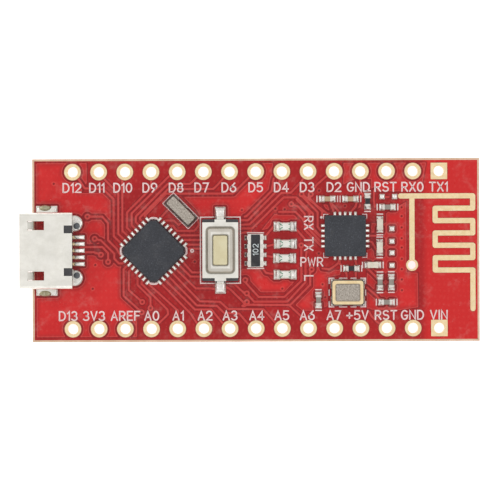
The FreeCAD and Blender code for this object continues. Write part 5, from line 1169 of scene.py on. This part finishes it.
mcu_low, mcu_high = node_box("mcu_body")
mcu = (mcu_low + mcu_high)[:2] / 2
reach = (mcu_high - mcu_low)[0] / 2 + 0.14
for turn in range(4):
    out = np.array([math.cos(turn * math.pi / 2), math.sin(turn * math.pi / 2)])
    side = np.array([-out[1], out[0]])
    arc = [mcu + out * (reach - d) + side * w
           for d, w in ((.11, -.36), (.02, -.24), (0, 0), (.02, .24), (.11, .36))]
    strokes.append((arc, 0.24))
strokes.append((bow(mcu[0] + reach + .55, mcu[1], .13, .13, 0, 360), 0.15))
radio_low, radio_high = node_box("radio_body")
for x, dx in ((radio_low[0] - .09, .42), (radio_high[0] + .09, -.42)):
    for y, dy in ((radio_low[1] - .09, .42), (radio_high[1] + .09, -.42)):
        strokes.append(([(x + dx, y), (x, y), (x, y + dy)], 0.09))
strokes.append((bow(radio_low[0] - .3, radio_high[1] - .2, .06, .06, 0, 360), 0.15))
base_low, base_high = node_box("reset_switch_base")
sx = (base_low[0] + base_high[0]) / 2
for sign in (1, -1):
    outline = [(sx + sign * .62, base_high[1] + .2), (sx + sign * 1.93, base_high[1] + .2),
               (sx + sign * 1.93, base_low[1] - .2), (sx + sign * .62, base_low[1] - .2)]
    strokes.append((outline, 0.13))
array_low, array_high = node_box("resistor_array_terminals")
ax = (array_low[0] + array_high[0]) / 2
for y in (array_high[1] + .27, array_low[1] - .27):
    strokes.append(([(ax - .78, y), (ax + .78, y)], 0.13))
tray_low, tray_high = node_box("crystal_base")
x0, x1, y0, y1 = tray_low[0] - .2, tray_high[0] + .12, tray_low[1] - .13, tray_high[1] + .13
for path in ([(x0, y1 - .5), (x0, y1), (x0 + .45, y1)], [(x1 - .45, y1), (x1, y1), (x1, y1 - .5)],
             [(x0, y0 + .5), (x0, y0), (x0 + .45, y0)], [(x1 - .45, y0), (x1, y0), (x1, y0 + .5)],
             [(x0, -4.4), (x0, -3.9)], [(x1, -4.4), (x1, -3.9)], [(8.1, y0), (8.8, y0)],
             [(9.2, y0), (9.7, y0)], [(8.1, y1), (8.8, y1)], [(9.2, y1), (9.7, y1)]):
    strokes.append((path, 0.13))
clock = footprint(np.concatenate(loose_solids("resonator_base")))
c, s = math.cos(-math.pi / 4), math.sin(-math.pi / 4)
corners = np.array([(-1, -1), (1, -1), (1, 1), (-1, 1), (-1, -1)], float)
corners *= (max(clock["half"]) + .09, min(clock["half"]) + .09)
strokes.append((corners @ np.array([[c, s], [-s, c]]) + clock["middle"], 0.08))
small_bodies = [footprint(solid) for name in ("capacitor_bodies_tan", "capacitor_bodies_grey",
                "inductor_bodies", "resistor_bodies_top") for solid in loose_solids(name)]
for body in small_bodies:
    long_axis = int(body["half"][1] > body["half"][0])
    for sign in (1, -1):
        along, across = np.eye(2)[long_axis] * sign, np.eye(2)[1 - long_axis]
        middle = body["middle"] + along * 1.0
        strokes.append(([middle - across * .27, middle + across * .27], 0.13))
ink_top = print_ink("ink_top", strokes)
print("ink:", len(ink_top.data.polygons), "faces in", len(strokes), "strokes")

# %% [markdown]
# ## Solder
# Solder wets copper and climbs each terminal in a hollow curve, then thins to the edge of its
# land. Without a part on it, it sits as a low dome. Both are height fields over the land:
# hollow where there is a terminal, domed where there is none. A Boolean or a sculpt could do
# one joint, but here one formula makes them all and each gets its own slight difference.

# %% Solder fields
CLIMB, LOW_DOME, BARE_DOME, SUNK = 0.2, 0.05, 0.11, 0.004


def solder_field(land, terminals, rise, face, dome, seed, rows=11, columns=15):
    """Height over a land: rise x (1 - d / reach)^2.2, where d is the distance from the
    nearest terminal and reach the longest on the land, plus a bead dome x sqrt(1 - r^2.5),
    r^2.5 = u^2.5 + v^2.5, all times a soft edge that brings the rim down to the copper."""
    u, v = np.meshgrid(np.linspace(-1, 1, columns), np.linspace(-1, 1, rows))
    hx, hy = land["half"] * 0.985
    if land["round"] > 0.2:
        squeeze = np.sqrt(np.clip(1 - 0.5 * v ** 2, 0, 1)), np.sqrt(np.clip(1 - 0.5 * u ** 2, 0, 1))
        local = np.stack([u * squeeze[0] * hx, v * squeeze[1] * hy], -1)
    else:
        local = np.stack([u * hx, v * hy], -1)
    c, s = math.cos(land["turn"]), math.sin(land["turn"])
    flat = np.stack([local[..., 0] * c - local[..., 1] * s, local[..., 0] * s + local[..., 1] * c], -1)
    flat = flat + land["middle"]
    soft = np.clip((1 - np.abs(u)) / 0.3, 0, 1) * np.clip((1 - np.abs(v)) / 0.3, 0, 1)
    soft = np.sqrt(soft * (2 - soft))
    height = dome * np.sqrt(np.clip(1 - np.abs(u) ** 2.5 - np.abs(v) ** 2.5, 0, 1))
    if terminals:
        away = np.maximum(-in_rectangles(flat, terminals, 0.0, 0.02), 0)
        reach = max(float(away.max()), 0.05)
        height = height + rise * min(1.0, (land["half"].min() / 0.24) ** 2) * (1 - away / reach) ** 2.2
    wobble = 1 + 0.12 * np.sin(3.1 * u + seed * 1.7) * np.cos(2.3 * v + seed)
    z = land["high" if face > 0 else "low"] + face * (height * soft * wobble - SUNK)
    return np.dstack([flat, z])


def solder_up(name, lands, terminal_nodes, face=1):
    """Solder on every land, climbing whichever terminals stand on it."""
    terminals = [footprint(solid) for node_name in terminal_nodes for solid in loose_solids(node_name)]
    grids = []
    for number, land in enumerate(lands):
        near = [mark for mark in terminals
                if np.linalg.norm(mark["middle"] - land["middle"]) < mark["half"].max() + land["half"].max()]
        rise, dome = (CLIMB, LOW_DOME) if near else (0.0, BARE_DOME)
        grids.append(solder_field(land, near, rise, face, dome, number))
    beds = [grid.copy() for grid in grids]
    for bed, land in zip(beds, lands):
        bed[..., 2] = land["high" if face > 0 else "low"] - face * SUNK
    points, faces = join_grids(grids + beds)
    piece = face_outward(make_piece(name, points, faces))
    print(name, len(lands), "joints,", len(faces), "faces")
    return piece


top_terminals = ["capacitor_terminals_top", "resistor_terminals_top", "inductor_terminals", "led_terminals",
                 "resistor_array_terminals", "mcu_leadframe", "radio_leadframe", "usb_contacts",
                 "reset_switch_terminals", "crystal_base", "resonator_base"]
solder_top = solder_up("solder_top", top_lands, top_terminals)
solder_under = solder_up("solder_under", bottom_lands, ["bridge_leads", "power_leads", "supply_leads",
                         "diode_leads", "tantalum_leads", "capacitor_terminals_bottom",
                         "resistor_terminals_bottom"], face=-1)

# %% [markdown]
# ## The snap dome
# Under the button lies a thin dished disc of spring steel that flattens with a click. It is
# made new from its own box, as two spherical caps joined at the rim.

# %% The snap dome
dome_low, dome_high = node_box("reset_switch_dome")
rise, sheet = dome_high[2] - dome_low[2], 0.08
rim_radius = (dome_high[0] - dome_low[0]) / 2
ball = (rim_radius ** 2 + rise ** 2) / (2 * rise)
profile = []
for radius, order in ((ball, 1), (ball - sheet, -1)):
    edge = math.acos((ball - rise) / radius)
    angles = np.linspace(0.02, edge, 10)[::order]
    profile += [(radius * math.sin(a), dome_high[2] - ball + radius * math.cos(a)) for a in angles]
turn = np.linspace(0, 2 * math.pi, 48, endpoint=False)
middle = (dome_low + dome_high) / 2
rings = np.array([[(middle[0] + r * math.cos(a), middle[1] + r * math.sin(a), z) for a in turn]
                  for r, z in profile])
dome_points, dome_faces = join_grids([close_ends(rings)], close_columns=True)
snap_dome = face_outward(make_piece("snap_dome", dome_points, dome_faces))
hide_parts("reset_switch_dome")
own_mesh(snap_dome)

print("snap dome:", len(snap_dome.data.polygons), "faces")

# %% [markdown]
# ## Small things that are seen
# Two pegs of the socket's plastic come up behind the shell, and solder swells round the
# shell's feet. A turned bead with a straight skirt serves for both; a sculpt would be more
# work for the same roundness.

# %% Pegs and feet of the USB shell


def dome_shape(middle, base, radius, height, rings=9, around=28):
    """A bead: rings of radius r x sin(a)^0.8 at height h x cos(a), less a dimple on top of
    0.06 h x exp(-(share of the radius / 0.35) squared), with a straight skirt below."""
    a = np.linspace(0, math.pi / 2, rings)[:, None]
    turn = np.linspace(0, 2 * math.pi, around, endpoint=False)[None, :]
    across = radius * np.sin(a) ** 0.8
    up = base + height * np.cos(a) - 0.06 * height * np.exp(-(across / radius / 0.35) ** 2)
    top = np.dstack([middle[0] + across * np.cos(turn), middle[1] + across * np.sin(turn), up + 0 * turn])
    skirt = top[-1:].copy()
    skirt[..., 2] = base - 0.3
    return close_ends(np.concatenate([top, skirt]))


peg_x = node_box("usb_insulator")[1][0] + 0.42
pegs = [dome_shape((peg_x, y), SEAT + 0.22, 0.32, 0.22) for y in (2.4, -2.4)]
peg_points, peg_faces = join_grids(pegs, close_columns=True)
usb_pegs = face_outward(make_piece("usb_pegs", peg_points, peg_faces))
shell_low, shell_high = node_box("usb_shell")
foot_x = shell_low[0] + 2.4
feet = []
for y in (shell_high[1], shell_low[1]):
    bead = dome_shape((foot_x, y), SEAT + 0.06, 0.62, 0.4)
    bead[..., 1] = y + (bead[..., 1] - y) * 0.5
    feet.append(bead)
foot_points, foot_faces = join_grids(feet, close_columns=True)
foot_solder = face_outward(make_piece("usb_foot_solder", foot_points, foot_faces))

print("pegs and feet:", len(pegs), len(feet))

# %% [markdown]
# Each light has green marks that tell its ends apart. The resistor strip carries its value,
# and the underside has its own lettering, mirrored so that it reads right from below.

# %% Marks on the lights, the strip and the underside
light_marks = []
for solid in loose_solids("led_bases"):
    light = footprint(solid)
    x, y = light["middle"]
    for sign in (1, -1):
        light_marks.append(([(x - .5, y + sign * .27), (x - .28, y + sign * .1)], 0.11))
        light_marks.append(([(x + .5, y + sign * .27), (x + .36, y + sign * .2)], 0.09))
led_marks = print_ink("led_marks", light_marks, base=node_box("led_lenses")[1][2] - 0.012)
coat_low, coat_high = node_box("resistor_array_coat")
value_place = (coat_low + coat_high)[:2] / 2 + (0, .1)
value = [(path, 0.075) for path in letter_paths("102", value_place, .5, 90, gap=.34)]
ink_strip = print_ink("ink_strip", value, base=coat_high[2] - 0.004)
under = []
for names, places, y in ((digital_names, digital_x, 6.2), (analog_names, analog_x, -6.2)):
    for word, x in zip(names, places):
        under += [(path, STROKE) for path in letter_paths(word, (x, y), .72, 180, mirror=-1)]
for name in ("bridge_body", "power_body", "supply_body"):
    low, high = node_box(name)
    under.append((closed(low[0] - .2, high[0] + .2, low[1] - .2, high[1] + .2), 0.13))
low, high = node_box("tantalum_bodies")
for sign in (1, -1):
    under.append(([(high[0] + .85, sign * 3.1), (high[0] + .85, sign * 4.1)], 0.15))
under.append((bow(-1.9, 2.6, .12, .12, 0, 360), 0.14))
ink_under = print_ink("ink_under", under, face=-1)

print("marks:", len(light_marks), "on the lights,", len(value), "on the strip,", len(under), "underneath")

# %% [markdown]
# ## Dressing the parts
# Every node of the model gets the finish of its slot in the record, and every new piece gets
# its own. One node differs from its slot: the ceramic base of the clock takes the dark finish
# of the crystal's tray, so that a dark outline shows round its lid.

# %% Give every node its finish
slot_of = {part["node"]: part["material_slot"] for part in frame["record"]["subparts"]}
slot_of["resonator_base"] = "crystal_tray"
for name, piece in nodes.items():
    piece.data.materials.clear()
    piece.data.materials.append(finishes[slot_of[name]])
for piece, finish in ((lacquer_top, "solder_mask"), (lacquer_under, "solder_mask"), (ink_top, "white_ink"),
                      (ink_under, "white_ink"), (ink_strip, "value_ink"), (led_marks, "green_mark"),
                      (solder_top, "solder"), (solder_under, "solder"), (usb_pegs, "peg_finish"),
                      (foot_solder, "flux_solder"), (snap_dome, "spring_steel")):
    piece.data.materials.append(finishes[finish])
print("dressed nodes:", len(nodes))

# %% [markdown]
# The switch cover has a stamped groove and a hole for the button, and the lids have a
# rim. Bands of painted shade there and on the cover's slopes are placed from where the parts
# are: the switch cover and the clock's lid each on its own copy of the metal, the crystal's
# lid on the shared lid metal.

# %% Painted shade in grooves and along rims
cover = finishes["tinned_steel"].copy()
cover.name = "switch_cover_painted_shade"
nodes["reset_switch_cover"].data.materials[0] = cover
switch = sum(node_box("reset_switch_cover"))[:2] / 2
# painted shade: the groove round the cover's raised middle, its slopes, and round the button hole
paint_shade_band(cover, switch, (1.44, 2.32), .5, 0.0, 0.26, srgb(112, 104, 90), 0.75, 0.06)
paint_shade_band(cover, switch, (1.25, 2.1), .35, -0.05, 0.34, srgb(166, 156, 142), 0.5, 0.08)
paint_shade_band(cover, switch, (.72, 1.46), .12, -0.1, 0.12, srgb(92, 84, 70), 0.6, 0.05)
# painted shade along the rim of the clock's lid, on its own copy of the lid metal
clock_lid = finishes["nickel_lid"].copy()
clock_lid.name = "resonator_lid"
nodes["resonator_lid"].data.materials[0] = clock_lid
paint_shade_band(clock_lid, clock["middle"], (max(clock["half"]) - .1, min(clock["half"]) - .1), .2, -0.2, 0.03,
           srgb(84, 78, 70), 0.85, 0.04, turn=-math.pi / 4)
# painted shade along the rim of the crystal's lid, on the shared lid metal
lid_low, lid_high = node_box("crystal_lid")
paint_shade_band(finishes["nickel_lid"], (lid_low + lid_high)[:2] / 2, (lid_high - lid_low)[:2] / 2, .1, -0.3, 0.07,
           srgb(92, 84, 72), 0.7, 0.04)
print("shaded covers:", cover.name, clock_lid.name)
